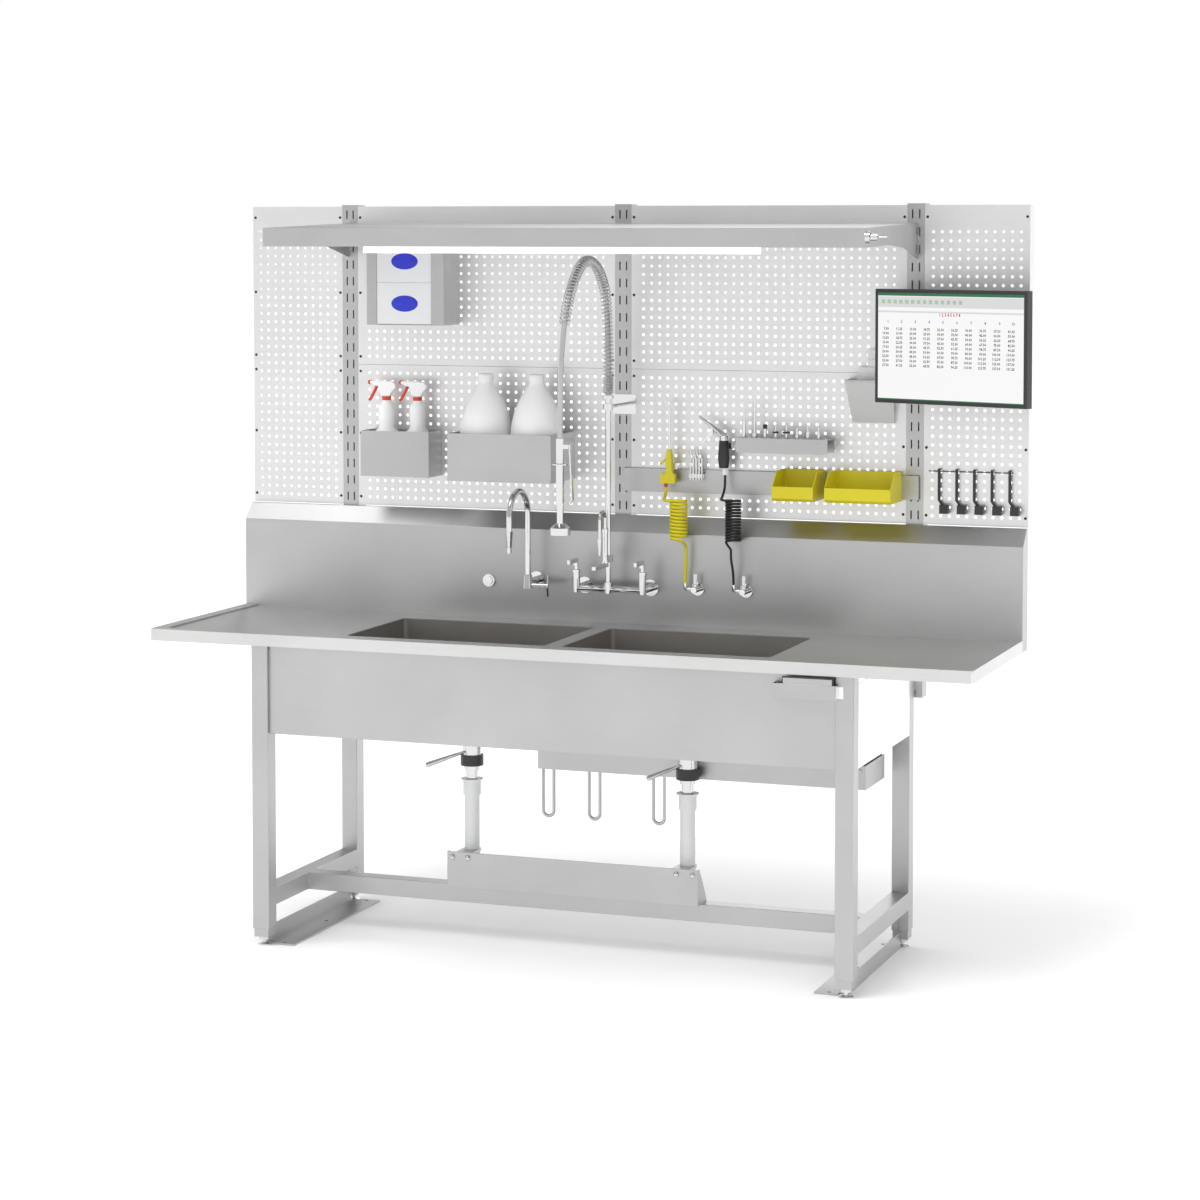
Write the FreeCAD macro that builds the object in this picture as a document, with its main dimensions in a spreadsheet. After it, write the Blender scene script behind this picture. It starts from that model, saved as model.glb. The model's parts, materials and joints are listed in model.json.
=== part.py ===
# Processing sink: a two-bowl instrument-cleaning bench on a lifting frame, in millimetres.
# +X runs to the right, +Y to the back and +Z up. The origin is on the floor, at the centre
# of the four floor anchor holes.
import FreeCAD, Part
import Sketcher
import math
import os

doc = FreeCAD.newDocument("processing_sink")
sheet = doc.addObject("Spreadsheet::Sheet", "sizes")
nodes = []
rows = []


# A number together with the sheet expression that gives it
class Size:
    def __init__(self, value, text):
        self.value = float(value)
        self.text = text

    def __add__(self, other):
        other = sized(other)
        return Size(self.value + other.value, f"({self.text} + {other.text})")

    def __radd__(self, other):
        return sized(other) + self

    def __sub__(self, other):
        other = sized(other)
        return Size(self.value - other.value, f"({self.text} - {other.text})")

    def __rsub__(self, other):
        return sized(other) - self

    def __mul__(self, other):
        other = sized(other)
        return Size(self.value * other.value, f"({self.text} * {other.text})")

    def __rmul__(self, other):
        return sized(other) * self

    def __truediv__(self, other):
        other = sized(other)
        return Size(self.value / other.value, f"({self.text} / {other.text})")

    def __neg__(self):
        return Size(-self.value, f"(0 - {self.text})")

    def __float__(self):
        return self.value

    def __lt__(self, other):
        return float(self) < float(other)


def sized(thing):
    if isinstance(thing, Size):
        return thing
    return Size(thing, repr(float(thing)))


# The named sizes of one group, each with a cell and an alias in the sheet
class Group:
    def __init__(self, group, sizes):
        for name, value in sizes.items():
            alias = f"{group}_{name}"
            rows.append(alias)
            sheet.set(f"A{len(rows)}", alias)
            sheet.set(f"B{len(rows)}", repr(value))
            sheet.setAlias(f"B{len(rows)}", alias)
            setattr(self, name, Size(value, f"sizes.{alias}"))
        doc.recompute([sheet])


def vector(point):
    return FreeCAD.Vector(*[float(part) for part in point])


def bind(item, field, size):
    size = sized(size)
    setattr(item, field, size.value)
    item.setExpression(field, size.text)


# Axes: how a shape drawn along +Z is turned to lie along each one
AXIS_TURNS = {
    "X": FreeCAD.Rotation(FreeCAD.Vector(0, 1, 0), 90),
    "Y": FreeCAD.Rotation(FreeCAD.Vector(-1, 0, 0), 90),
    "Z": FreeCAD.Rotation(),
}
AXIS_PLANES = {"X": "YZ_Plane", "Y": "XZ_Plane", "Z": "XY_Plane"}


def seat(item, x, y, z, turn=None):
    spot = [sized(x), sized(y), sized(z)]
    item.Placement = FreeCAD.Placement(vector(spot), turn or FreeCAD.Rotation())
    for letter, size in zip("xyz", spot):
        item.setExpression(f"Placement.Base.{letter}", size.text)
    return item


def block(name, x0, x1, y0, y1, z0, z1):
    item = doc.addObject("Part::Box", name)
    bind(item, "Length", sized(x1) - x0)
    bind(item, "Width", sized(y1) - y0)
    bind(item, "Height", sized(z1) - z0)
    return seat(item, x0, y0, z0)


# A pair of limits on one side of the middle, in rising order
def span(sign, near, far):
    if sign > 0:
        return sized(near), sized(far)
    return -sized(far), -sized(near)


def spot_on(axis, along, across, up):
    return {"X": (along, across, up), "Y": (across, along, up), "Z": (across, up, along)}[axis]


# A round rod, or one with flat sides where a number of sides is given
def rod(name, axis, radius, start, end, across, up, sides=0):
    if sides:
        item = doc.addObject("Part::Prism", name)
        item.Polygon = sides
        bind(item, "Circumradius", radius)
    else:
        item = doc.addObject("Part::Cylinder", name)
        bind(item, "Radius", radius)
    bind(item, "Height", sized(end) - start)
    return seat(item, *spot_on(axis, start, across, up), AXIS_TURNS[axis])


# One closed outline after another, each corner held by its distances from the sketch's origin
def sketch_in(body, axis, outlines, offset):
    sketch = body.newObject("Sketcher::SketchObject", body.Name + "_outline")
    planes = [plane for plane in body.Origin.OriginFeatures if plane.Role == AXIS_PLANES[axis]]
    sketch.AttachmentSupport = [(planes[0], "")]
    sketch.MapMode = "FlatFace"
    offset = sized(offset)
    sketch.AttachmentOffset = FreeCAD.Placement(vector((0, 0, offset)), FreeCAD.Rotation())
    sketch.setExpression("AttachmentOffset.Base.z", offset.text)
    first = 0
    for points in outlines:
        spots = [FreeCAD.Vector(float(across), float(up), 0) for across, up in points]
        ends = spots[1:] + spots[:1]
        sketch.addGeometry([Part.LineSegment(a, b) for a, b in zip(spots, ends)], False)
        for number in range(len(points)):
            line = first + number
            after = first + (number + 1) % len(points)
            sketch.addConstraint(Sketcher.Constraint("Coincident", line, 2, after, 1))
        for number, (across, up) in enumerate(points):
            pin(sketch, first + number, "DistanceX", across, -2)
            pin(sketch, first + number, "DistanceY", up, -1)
        first += len(points)
    return sketch


def pin(sketch, line, kind, distance, axis):
    distance = sized(distance)
    if distance.value == 0:
        sketch.addConstraint(Sketcher.Constraint("PointOnObject", line, 1, axis))
        return
    if distance.value > 0:
        rule = Sketcher.Constraint(kind, -1, 1, line, 1, distance.value)
    else:
        distance = -distance
        rule = Sketcher.Constraint(kind, line, 1, -1, 1, distance.value)
    index = sketch.addConstraint(rule)
    sketch.setExpression(f"Constraints[{index}]", distance.text)


# A flat outline carried straight along an axis, from start to end
def prism(name, axis, outlines, start, end):
    body = doc.addObject("PartDesign::Body", name)
    offset = -sized(end) if axis == "Y" else sized(start)
    sketch = sketch_in(body, axis, outlines, offset)
    pad = body.newObject("PartDesign::Pad", name + "_pad")
    pad.Profile = sketch
    bind(pad, "Length", sized(end) - start)
    body.Tip = pad
    return body


# A profile of radius and height about its own axis, with flat facets: for small fittings
def facetted(name, profile, sides):
    turns = [2 * math.pi * number / sides for number in range(sides + 1)]
    faces = []
    for (wide0, z0), (wide1, z1) in zip(profile, profile[1:]):
        for turn0, turn1 in zip(turns, turns[1:]):
            corners = []
            for wide, height, turn in ((wide0, z0, turn0), (wide0, z0, turn1),
                                       (wide1, z1, turn1), (wide1, z1, turn0)):
                wide = float(wide)
                spot = FreeCAD.Vector(wide * math.cos(turn), wide * math.sin(turn), float(height))
                if all((spot - other).Length > 1e-6 for other in corners):
                    corners.append(spot)
            faces.append(Part.Face(Part.makePolygon(corners + corners[:1])))
    shape = Part.Solid(Part.makeShell(faces)).removeSplitter()
    if shape.Volume < 0:
        shape.reverse()
    return feature(name, shape)


# A profile of radius and height turned about its own axis
def turned(name, axis, profile, along, across, up, sides=0):
    if sides:
        item = facetted(name, profile, sides)
        return seat(item, *spot_on(axis, along, across, up), AXIS_TURNS[axis])
    body = doc.addObject("PartDesign::Body", name)
    sketch = sketch_in(body, "Y", [profile], 0)
    revolution = body.newObject("PartDesign::Revolution", name + "_turn")
    revolution.Profile = sketch
    revolution.ReferenceAxis = (sketch, ["V_Axis"])
    revolution.Angle = 360
    body.Tip = revolution
    return seat(body, *spot_on(axis, along, across, up), AXIS_TURNS[axis])


def join(name, items):
    item = doc.addObject("Part::MultiFuse", name)
    item.Shapes = items
    item.Refine = True
    return item


def group(name, items):
    item = doc.addObject("Part::Compound", name)
    item.Links = items
    return item


def minus(name, base, tools):
    item = doc.addObject("Part::Cut", name)
    item.Base = base
    item.Tool = tools[0] if len(tools) == 1 else group(name + "_tools", tools)
    item.Refine = True
    return item


# Rounded edges: those whose middle and direction the chooser accepts
def rounded(name, base, radius, chosen):
    doc.recompute()
    item = doc.addObject("Part::Fillet", name)
    item.Base = base
    edges = []
    for number, edge in enumerate(base.Shape.Edges, start=1):
        middle = edge.valueAt((edge.FirstParameter + edge.LastParameter) / 2)
        if chosen(edge, middle, edge.tangentAt(edge.FirstParameter)):
            edges.append((number, float(radius), float(radius)))
    item.Edges = edges
    return item


def upright_edge(edge, middle, way):
    return abs(way.z) > 1 - 1e-6 and isinstance(edge.Curve, Part.Line)


def node(item):
    item.Label = item.Name
    nodes.append(item)
    return item


# A path of straight runs and tangent arcs; the radii are one per inner point
def rounded_path(points, radii):
    spots = [vector(point) for point in points]
    edges = []
    start = spots[0]
    for before, spot, after, radius in zip(spots, spots[1:], spots[2:], radii):
        way_in = (spot - before).normalize()
        way_out = (after - spot).normalize()
        half = way_in.getAngle(way_out) / 2
        reach = radius * math.tan(half)
        entry = spot - way_in * reach
        leave = spot + way_out * reach
        inward = (way_out - way_in).normalize()
        middle = spot + inward * (radius / math.cos(half) - radius)
        if (entry - start).Length > 1e-6:
            edges.append(Part.LineSegment(start, entry).toShape())
        edges.append(Part.Arc(entry, middle, leave).toShape())
        start = leave
    edges.append(Part.LineSegment(start, spots[-1]).toShape())
    return Part.Wire(edges)


def cross_section(spot, way, radius, sides):
    if sides == 0:
        return Part.Wire([Part.Circle(spot, way, radius).toShape()])
    helper = FreeCAD.Vector(0, 0, 1) if abs(way.z) < 0.9 else FreeCAD.Vector(1, 0, 0)
    across = way.cross(helper).normalize()
    up = way.cross(across).normalize()
    corners = []
    for number in range(sides):
        angle = 2 * math.pi * (number + 0.5) / sides
        corners.append(spot + across * (radius * math.cos(angle)) + up * (radius * math.sin(angle)))
    return Part.makePolygon(corners + corners[:1])


def swept(path, radius, sides=0):
    first = path.OrderedEdges[0]
    spot = first.valueAt(first.FirstParameter)
    way = first.tangentAt(first.FirstParameter)
    if (spot - path.OrderedVertexes[0].Point).Length > 1e-6:
        spot = first.valueAt(first.LastParameter)
        way = first.tangentAt(first.LastParameter) * -1
    shell = Part.BRepOffsetAPI.MakePipeShell(path)
    shell.add(cross_section(spot, way, radius, sides))
    shell.build()
    shell.makeSolid()
    return shell.shape()


def feature(name, shape):
    item = doc.addObject("Part::Feature", name)
    item.Shape = shape
    item.Placement = FreeCAD.Placement()
    return item


# A bent rod of one bend radius, its path in sheet sizes
def bent(name, points, radius, bend, sides):
    path = rounded_path(points, [float(bend)] * (len(points) - 2))
    return feature(name, swept(path, float(radius), sides))


# A straight rod between two places, with flat sides; it may taper and end in a round tip
def strut(name, radius0, radius1, start, end, sides, tip=0):
    way = vector(end) - vector(start)
    profile = [(0, 0), (radius0, 0), (radius1, way.Length)]
    if tip:
        profile += [(float(radius1) * 0.7, way.Length + float(tip) * 0.7), (0, way.Length + float(tip))]
    else:
        profile += [(0, way.Length)]
    item = facetted(name, profile, sides)
    return seat(item, *start, FreeCAD.Rotation(FreeCAD.Vector(0, 0, 1), way))


# Sizes that several pieces share
fit = Group("fit", {
    "gap": 0.3,
    "running": 0.1,
    "overrun": 5.0,
    "sheet": 2.0,
})
bench = Group("bench", {
    "half_length": 1219.2,
    "front": 337.0,
    "splash_face": 280.0,
    "back": 344.0,
    "rim_top": 905.0,
    "deck_top": 900.0,
    "deck_sheet": 3.0,
    "underside": 871.0,
    "leg_x": 868.6,
    "leg_y": 303.4,
    "leg_size": 50.8,
    "leg_bottom": 50.0,
    "panel_bottom": 617.0,
    "rail_bottom": 112.0,
    "rail_height": 50.8,
})
deck_under = bench.deck_top - bench.deck_sheet
leg_inner = bench.leg_x - bench.leg_size / 2
leg_outer = bench.leg_x + bench.leg_size / 2
leg_near = bench.leg_y - bench.leg_size / 2
leg_far = bench.leg_y + bench.leg_size / 2
SIDES = (("left", -1), ("right", 1))
ENDS = (("front", -1), ("rear", 1))

# Floor base: an anchored plate, a web and two posts on each side
base = Group("base", {
    "plate_inner": 778.0,
    "plate_half": 300.0,
    "plate_bottom": 0.0,
    "plate_sheet": 5.0,
    "anchor_x": 817.0,
    "anchor_y": 287.0,
    "anchor_radius": 6.0,
    "web_sheet": 4.0,
    "web_top": 48.0,
    "sleeve_wall": 2.7,
    "post_wall": 3.0,
    "post_bottom": 25.0,
    "post_top": 420.0,
    "post_plug": 10.0,
    "foot_radius": 21.5,
    "foot_height": 7.0,
    "foot_notch": 2.0,
    "stem_radius": 7.0,
    "nut_radius": 17.0,
    "nut_height": 9.0,
    "stem_spare": 20.0,
})
sleeve_bore = bench.leg_size / 2 - base.sleeve_wall
post_half = sleeve_bore - fit.gap
plate_top = base.plate_bottom + base.plate_sheet


def floor_base():
    sides = []
    notch_x = bench.leg_x - base.foot_radius - base.foot_notch
    notch_y = bench.leg_y - base.foot_radius - base.foot_notch
    web_outer = bench.leg_x + base.web_sheet / 2
    for side, sign in SIDES:
        corners = (
            (base.plate_inner, -base.plate_half), (notch_x, -base.plate_half), (notch_x, -notch_y),
            (web_outer, -notch_y), (web_outer, notch_y), (notch_x, notch_y),
            (notch_x, base.plate_half), (base.plate_inner, base.plate_half),
        )
        outline = [(across * sign, up) for across, up in corners]
        plate = prism(f"{side}_floor_plate", "Z", [outline], base.plate_bottom, plate_top)
        web_x = span(sign, bench.leg_x - base.web_sheet / 2, web_outer)
        web_y = bench.leg_y - post_half
        web = block(f"{side}_base_web", *web_x, -web_y, web_y, plate_top, base.web_top)
        parts = [plate, web]
        for place, way in ENDS:
            x, y = bench.leg_x * sign, bench.leg_y * way
            bore = post_half - base.post_wall
            name = f"{side}_{place}_post"
            body = block(name + "_body", x - post_half, x + post_half, y - post_half,
                         y + post_half, base.post_bottom, base.post_top)
            inside = block(name + "_bore", x - bore, x + bore, y - bore, y + bore,
                           base.post_bottom + base.post_plug, base.post_top + fit.overrun)
            thread = rod(name + "_thread", "Z", base.stem_radius + fit.running,
                         base.post_bottom - fit.overrun, base.post_bottom + base.post_plug + fit.overrun,
                         x, y, 10)
            parts.append(minus(name, body, [inside, thread]))
        holes = []
        for number, share in enumerate((-1, 0, 1)):
            holes.append(rod(f"{side}_anchor_{number}", "Z", base.anchor_radius,
                             base.plate_bottom - fit.overrun, plate_top + fit.overrun,
                             base.anchor_x * sign, base.anchor_y * share))
        sides.append(minus(f"{side}_base", join(f"{side}_base_whole", parts), holes))
    node(group("floor_base", sides))


def levelling_feet():
    feet = []
    nut_top = base.post_bottom - fit.gap
    stem_top = base.post_bottom + base.post_plug + base.stem_spare
    for side, sign in SIDES:
        for place, way in ENDS:
            profile = (
                (0, 0), (base.foot_radius, 0), (base.foot_radius, base.foot_height / 2),
                (base.stem_radius, base.foot_height), (base.stem_radius, nut_top - base.nut_height),
                (base.nut_radius, nut_top - base.nut_height), (base.nut_radius, nut_top),
                (base.stem_radius, nut_top), (base.stem_radius, stem_top), (0, stem_top),
            )
            feet.append(turned(f"{side}_{place}_foot", "Z", profile, 0,
                               bench.leg_x * sign, bench.leg_y * way, 10))
    node(group("levelling_feet", feet))


# Lifting frame: four sleeves over the posts, open-bottomed rails and angle rails at the top
frame = Group("frame", {
    "rail_sheet": 3.0,
    "stretcher_front": 66.0,
    "slot_width": 10.0,
    "angle_leaf": 26.0,
    "angle_drop": 40.0,
    "angle_sheet": 4.0,
})
rail_top = bench.rail_bottom + bench.rail_height
stretcher_back = bench.rail_height - frame.stretcher_front


def rail_outline(middle):
    half = bench.rail_height / 2
    inside = half - frame.rail_sheet
    shelf = rail_top - frame.rail_sheet
    return (
        (middle - half, bench.rail_bottom), (middle - inside, bench.rail_bottom),
        (middle - inside, shelf), (middle + inside, shelf), (middle + inside, bench.rail_bottom),
        (middle + half, bench.rail_bottom), (middle + half, rail_top), (middle - half, rail_top),
    )


def angle_outline(middle, sign):
    far = middle + frame.angle_leaf / 2 * sign
    near = middle - frame.angle_leaf / 2 * sign
    inside = far - frame.angle_sheet * sign
    foot = deck_under - frame.angle_drop
    shelf = deck_under - frame.angle_sheet
    return ((far, foot), (far, deck_under), (near, deck_under), (near, shelf),
            (inside, shelf), (inside, foot))


def leg_frame():
    parts = []
    for side, sign in SIDES:
        x = bench.leg_x * sign
        for place, way in ENDS:
            y = bench.leg_y * way
            half = bench.leg_size / 2
            name = f"{side}_{place}_sleeve"
            body = block(name + "_body", x - half, x + half, y - half, y + half,
                         bench.leg_bottom, deck_under)
            bore = block(name + "_bore", x - sleeve_bore, x + sleeve_bore, y - sleeve_bore,
                         y + sleeve_bore, bench.leg_bottom - fit.overrun, deck_under + fit.overrun)
            slot_y = span(way, leg_near - fit.overrun, leg_near + base.sleeve_wall + fit.gap)
            slot = block(name + "_slot", x - frame.slot_width / 2, x + frame.slot_width / 2, *slot_y,
                         bench.leg_bottom - fit.overrun, bench.rail_bottom)
            parts.append(minus(name, body, [bore, slot]))
        parts.append(prism(f"{side}_rail", "Y", [rail_outline(x)], -leg_near, leg_near))
        parts.append(prism(f"{side}_top_angle", "Y", [angle_outline(x, sign)], -leg_near, leg_near))
    middle = bench.rail_height / 2 - frame.stretcher_front
    parts.append(prism("stretcher", "X", [rail_outline(middle)], -leg_inner, leg_inner))
    for place, way in ENDS:
        outline = angle_outline(bench.leg_y * way, way)
        parts.append(prism(f"{place}_top_angle", "X", [outline], -leg_inner, leg_inner))
    node(join("leg_frame", parts))


# Worktop: a sheet deck with a raised rim, a deep edge and two bowl openings
top = Group("top", {
    "rim_width": 38.0,
    "edge_sheet": 3.0,
    "corner_radius": 12.0,
})
bowl = Group("bowl", {
    "near": 25.4,
    "length": 609.6,
    "front": 244.0,
    "back": 173.0,
    "bottom": 606.0,
    "sheet": 2.0,
    "corner_radius": 15.0,
    "drain_radius": 45.0,
})
bowl_x = bowl.near + bowl.length / 2
bowl_y = (bowl.back - bowl.front) / 2


def bowl_block(name, sign, margin, z0, z1):
    limits = span(sign, bowl.near - margin, bowl.near + bowl.length + margin)
    body = block(name + "_sharp", *limits, -bowl.front - margin, bowl.back + margin, z0, z1)
    return body


def worktop():
    half = bench.half_length
    body = block("worktop_sharp", -half, half, -bench.front, bench.splash_face,
                 bench.underside, bench.rim_top)
    body = rounded("worktop_block", body, top.corner_radius,
                   lambda edge, middle, way: upright_edge(edge, middle, way) and middle.y < 0)
    inner = half - top.rim_width
    recess = block("worktop_recess", -inner, inner, -bench.front + top.rim_width,
                   bench.splash_face + fit.overrun, bench.deck_top, bench.rim_top + fit.overrun)
    under = half - top.edge_sheet
    hollow = block("worktop_hollow", -under, under, -bench.front + top.edge_sheet,
                   bench.splash_face + fit.overrun, bench.underside - fit.overrun, deck_under)
    holes = []
    for side, sign in SIDES:
        hole = bowl_block(f"{side}_opening", sign, 0, bench.underside, bench.rim_top)
        holes.append(rounded(f"{side}_opening_block", hole, bowl.corner_radius, upright_edge))
    node(minus("worktop", body, [recess, hollow] + holes))


def bowls():
    for side, sign in SIDES:
        outer = bowl_block(f"{side}_bowl_outer", sign, bowl.sheet, bowl.bottom, deck_under)
        inner = bowl_block(f"{side}_bowl_inner", sign, 0, bowl.bottom + bowl.sheet,
                           deck_under + fit.overrun)
        outer = rounded(f"{side}_bowl_shell", outer, bowl.corner_radius + bowl.sheet, upright_edge)
        inner = rounded(f"{side}_bowl_space", inner, bowl.corner_radius, upright_edge)
        hole = rod(f"{side}_bowl_hole", "Z", bowl.drain_radius, bowl.bottom - fit.overrun,
                   bowl.bottom + fit.overrun, bowl_x * sign, bowl_y)
        node(minus(f"{side}_bowl", outer, [inner, hole]))


# Backsplash: an upright sheet, a sloped ledge, a back wall and closed ends
splash = Group("splash", {
    "fold": 1170.0,
    "top": 1217.0,
    "ledge_back": 325.0,
    "sheet": 3.0,
})


def backsplash():
    wall = splash.sheet
    outer = ((bench.splash_face, bench.underside), (bench.splash_face, splash.fold),
             (splash.ledge_back, splash.top), (bench.back, splash.top), (bench.back, bench.underside))
    inner = (
        (bench.splash_face + wall, bench.underside - fit.overrun),
        (bench.splash_face + wall, splash.fold - wall / 2), (splash.ledge_back, splash.top - wall),
        (bench.back - wall, splash.top - wall), (bench.back - wall, bench.underside - fit.overrun),
    )
    body = prism("splash_outside", "X", [outer], -bench.half_length, bench.half_length)
    inside = bench.half_length - wall
    hollow = prism("splash_hollow", "X", [inner], -inside, inside)
    gap = block("splash_gap", -inside, inside, bench.splash_face - fit.overrun,
                bench.splash_face + wall + fit.overrun, bench.underside - fit.overrun, deck_under)
    node(minus("backsplash", body, [hollow, gap]))


# Body panels: the front apron with the handset holder on it, and the two ends
skirt = Group("skirt", {
    "recess": 10.0,
    "return_depth": 20.0,
    "end_sheet": 3.0,
    "holder_left": 673.0,
    "holder_right": 851.0,
    "holder_bottom": 807.0,
    "holder_top": 848.0,
    "holder_tab": 15.0,
    "holder_tab_drop": 4.0,
    "holder_depth": 31.0,
    "handset_left": 699.0,
    "handset_right": 842.0,
    "handset_top": 867.0,
    "handset_thick": 10.0,
    "handset_radius": 4.0,
})
apron_front = leg_far - skirt.recess


def sheet_return(far, sheet, depth, sign, low, high):
    return ((far * sign, low), ((far - depth) * sign, low), ((far - depth) * sign, low + sheet),
            ((far - sheet) * sign, low + sheet), ((far - sheet) * sign, high), (far * sign, high))


def body_panels():
    high = deck_under - fit.gap
    reach = leg_inner - fit.gap
    outline = sheet_return(apron_front, fit.sheet, skirt.return_depth, -1, bench.panel_bottom, high)
    apron = prism("apron", "X", [outline], -reach, reach)
    face = -apron_front
    front = face - skirt.holder_depth
    left, right = skirt.holder_left, skirt.holder_right
    low, high = skirt.holder_bottom, skirt.holder_top
    cup = block("holder_body", left, right, front, face, low, high)
    space = block("holder_space", left + fit.sheet, right - fit.sheet, front + fit.sheet,
                  face, low + fit.sheet, high + fit.overrun)
    leg_space = block("holder_leg_space", leg_inner - fit.gap, right + fit.overrun, -leg_far,
                      face + fit.overrun, low - fit.overrun, high + fit.overrun)
    tab = block("holder_tab", right - fit.sheet, right + skirt.holder_tab, -leg_far - fit.sheet,
                -leg_far, low + skirt.holder_tab_drop, high - skirt.holder_tab_drop)
    parts = [join("apron_whole", [apron, minus("holder_cup", cup, [space, leg_space]), tab])]
    for side, sign in SIDES:
        outline = sheet_return(leg_outer, skirt.end_sheet, skirt.return_depth, sign,
                               bench.panel_bottom, high)
        parts.append(prism(f"{side}_end_panel", "Y", [outline], fit.gap - leg_near, leg_near - fit.gap))
    node(group("body_panels", parts))


def lift_handset():
    front = fit.sheet + fit.gap - apron_front - skirt.holder_depth
    body = block("handset_block", skirt.handset_left, skirt.handset_right, front,
                 front + skirt.handset_thick, skirt.holder_bottom + fit.sheet + fit.gap,
                 skirt.handset_top)
    node(rounded("lift_handset", body, skirt.handset_radius, upright_edge))


# Wall behind the bench: slotted uprights with perforated panels hung between and beside them
post = Group("post", {
    "size": 50.8,
    "wall": 2.5,
    "x": 889.0,
    "bottom": 717.0,
    "top": 2133.6,
    "cap_height": 5.0,
    "cap_margin": 1.0,
    "slot_width": 4.0,
    "slot_height": 25.4,
    "slot_offset": 10.4,
    "slot_pitch": 50.8,
    "slot_rows": 18,
    "first_slot": 1245.0,
    "spacer_bottom": 740.0,
    "spacer_top": 840.0,
})
board = Group("board", {
    "bottom": 1219.2,
    "seam": 1651.0,
    "sheet": 1.9,
    "flange": 50.0,
})
post_half_size = post.size / 2


def slotted_tube(name, x):
    half = post_half_size
    inside = half - post.wall
    near, far = bench.back, bench.back + post.size
    outer = ((x - half, near), (x + half, near), (x + half, far), (x - half, far))
    inner = ((x - inside, near + post.wall), (x + inside, near + post.wall),
             (x + inside, far - post.wall), (x - inside, far - post.wall))
    body = prism(name, "Z", [outer, inner], post.bottom, post.top)
    slots = []
    for sign in (-1, 1):
        middle = x + post.slot_offset * sign
        left, right = middle - post.slot_width / 2, middle + post.slot_width / 2
        low = post.first_slot - post.slot_height / 2
        slots.append(((left, low), (right, low), (right, low + post.slot_height),
                      (left, low + post.slot_height)))
    doc.recompute()
    whole = body.Shape.Volume
    sketch = sketch_in(body, "Y", slots, fit.overrun - near)
    pocket = body.newObject("PartDesign::Pocket", name + "_pocket")
    pocket.Profile = sketch
    bind(pocket, "Length", fit.overrun + post.wall + fit.gap)
    pattern = body.newObject("PartDesign::LinearPattern", name + "_pattern")
    pattern.Originals = [pocket]
    pattern.Direction = (sketch, ["V_Axis"])
    bind(pattern, "Length", post.slot_pitch * (post.slot_rows - 1))
    pattern.Occurrences = int(float(post.slot_rows))
    body.Tip = pattern
    doc.recompute()
    expected = 2 * float(post.slot_rows * post.slot_width * post.slot_height * post.wall)
    print(name, "slots cut", round(whole - body.Shape.Volume), "of", round(expected))
    return body


def uprights():
    parts = []
    for name, sign in (("left", -1), ("middle", 0), ("right", 1)):
        x = post.x * sign
        margin = post_half_size + post.cap_margin
        tube = slotted_tube(f"{name}_tube", x)
        cap = block(f"{name}_cap", x - margin, x + margin, bench.back,
                    bench.back + post.size + post.cap_margin, post.top, post.top + post.cap_height)
        pieces = [tube, cap]
        if sign:
            edges = span(sign, post.x - post_half_size, leg_outer)
            pieces.append(block(f"{name}_spacer", *edges, leg_far, bench.back,
                                post.spacer_bottom, post.spacer_top))
        parts.append(join(f"{name}_upright", pieces))
    node(group("uprights", parts))


def pan(name, x0, x1, z0, z1):
    face, back = bench.back, bench.back + board.flange
    body = block(name + "_body", x0, x1, face, back, z0, z1)
    space = block(name + "_space", x0 + board.sheet, x1 - board.sheet, face + board.sheet,
                  back + fit.overrun, z0 + board.sheet, z1 - board.sheet)
    return minus(name, body, [space])


def wall_panels():
    bays = []
    wings = []
    for side, sign in SIDES:
        bay = span(sign, post_half_size + fit.gap, post.x - post_half_size - fit.gap)
        wing = span(sign, post.x + post_half_size + fit.gap, bench.half_length)
        bays.append(pan(f"{side}_lower_bay", *bay, board.bottom, board.seam - fit.gap))
        bays.append(pan(f"{side}_upper_bay", *bay, board.seam + fit.gap, post.top))
        wings.append(pan(f"{side}_wing", *wing, board.bottom, post.top))
    node(group("bay_panels", bays))
    node(group("wing_panels", wings))


# Canopy with its lamp and switch
hood = Group("hood", {
    "half_length": 895.0,
    "front": 238.0,
    "lip_bottom": 2015.0,
    "lip_top": 2068.0,
    "back_top": 2083.0,
    "belly_y": 23.0,
    "belly_bottom": 2021.0,
    "bend_y": 190.0,
    "bend_bottom": 2012.0,
    "back_bottom": 1979.0,
    "lamp_half_length": 585.0,
    "lamp_y": 200.0,
    "lamp_width": 46.0,
    "lamp_bottom": 1997.0,
    "lamp_height": 32.0,
    "lamp_chamfer": 9.0,
    "bracket_x": 450.0,
    "bracket_length": 40.0,
    "bracket_width": 16.0,
    "bracket_gap": 0.8,
    "switch_y": 228.0,
    "switch_z": 2043.0,
    "switch_flange_radius": 16.5,
    "switch_flange": 13.0,
    "switch_body_radius": 10.0,
    "switch_body": 20.0,
    "switch_stem_radius": 2.5,
    "switch_stem": 26.0,
})


def canopy():
    front = -hood.front
    inner = front + fit.sheet
    roof = ((front, hood.lip_bottom), (front, hood.lip_top), (bench.back, hood.back_top),
            (bench.back, hood.back_top - fit.sheet), (inner, hood.lip_top - fit.sheet),
            (inner, hood.lip_bottom))
    parts = [prism("canopy_roof", "X", [roof], -hood.half_length, hood.half_length)]
    cheek = ((front, hood.lip_bottom), (hood.belly_y, hood.belly_bottom),
             (hood.bend_y, hood.bend_bottom), (bench.back, hood.back_bottom),
             (bench.back, hood.back_top), (front, hood.lip_top))
    for side, sign in SIDES:
        edges = span(sign, hood.half_length - fit.sheet, hood.half_length)
        parts.append(prism(f"{side}_cheek", "X", [cheek], *edges))
    node(join("canopy", parts))


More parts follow.
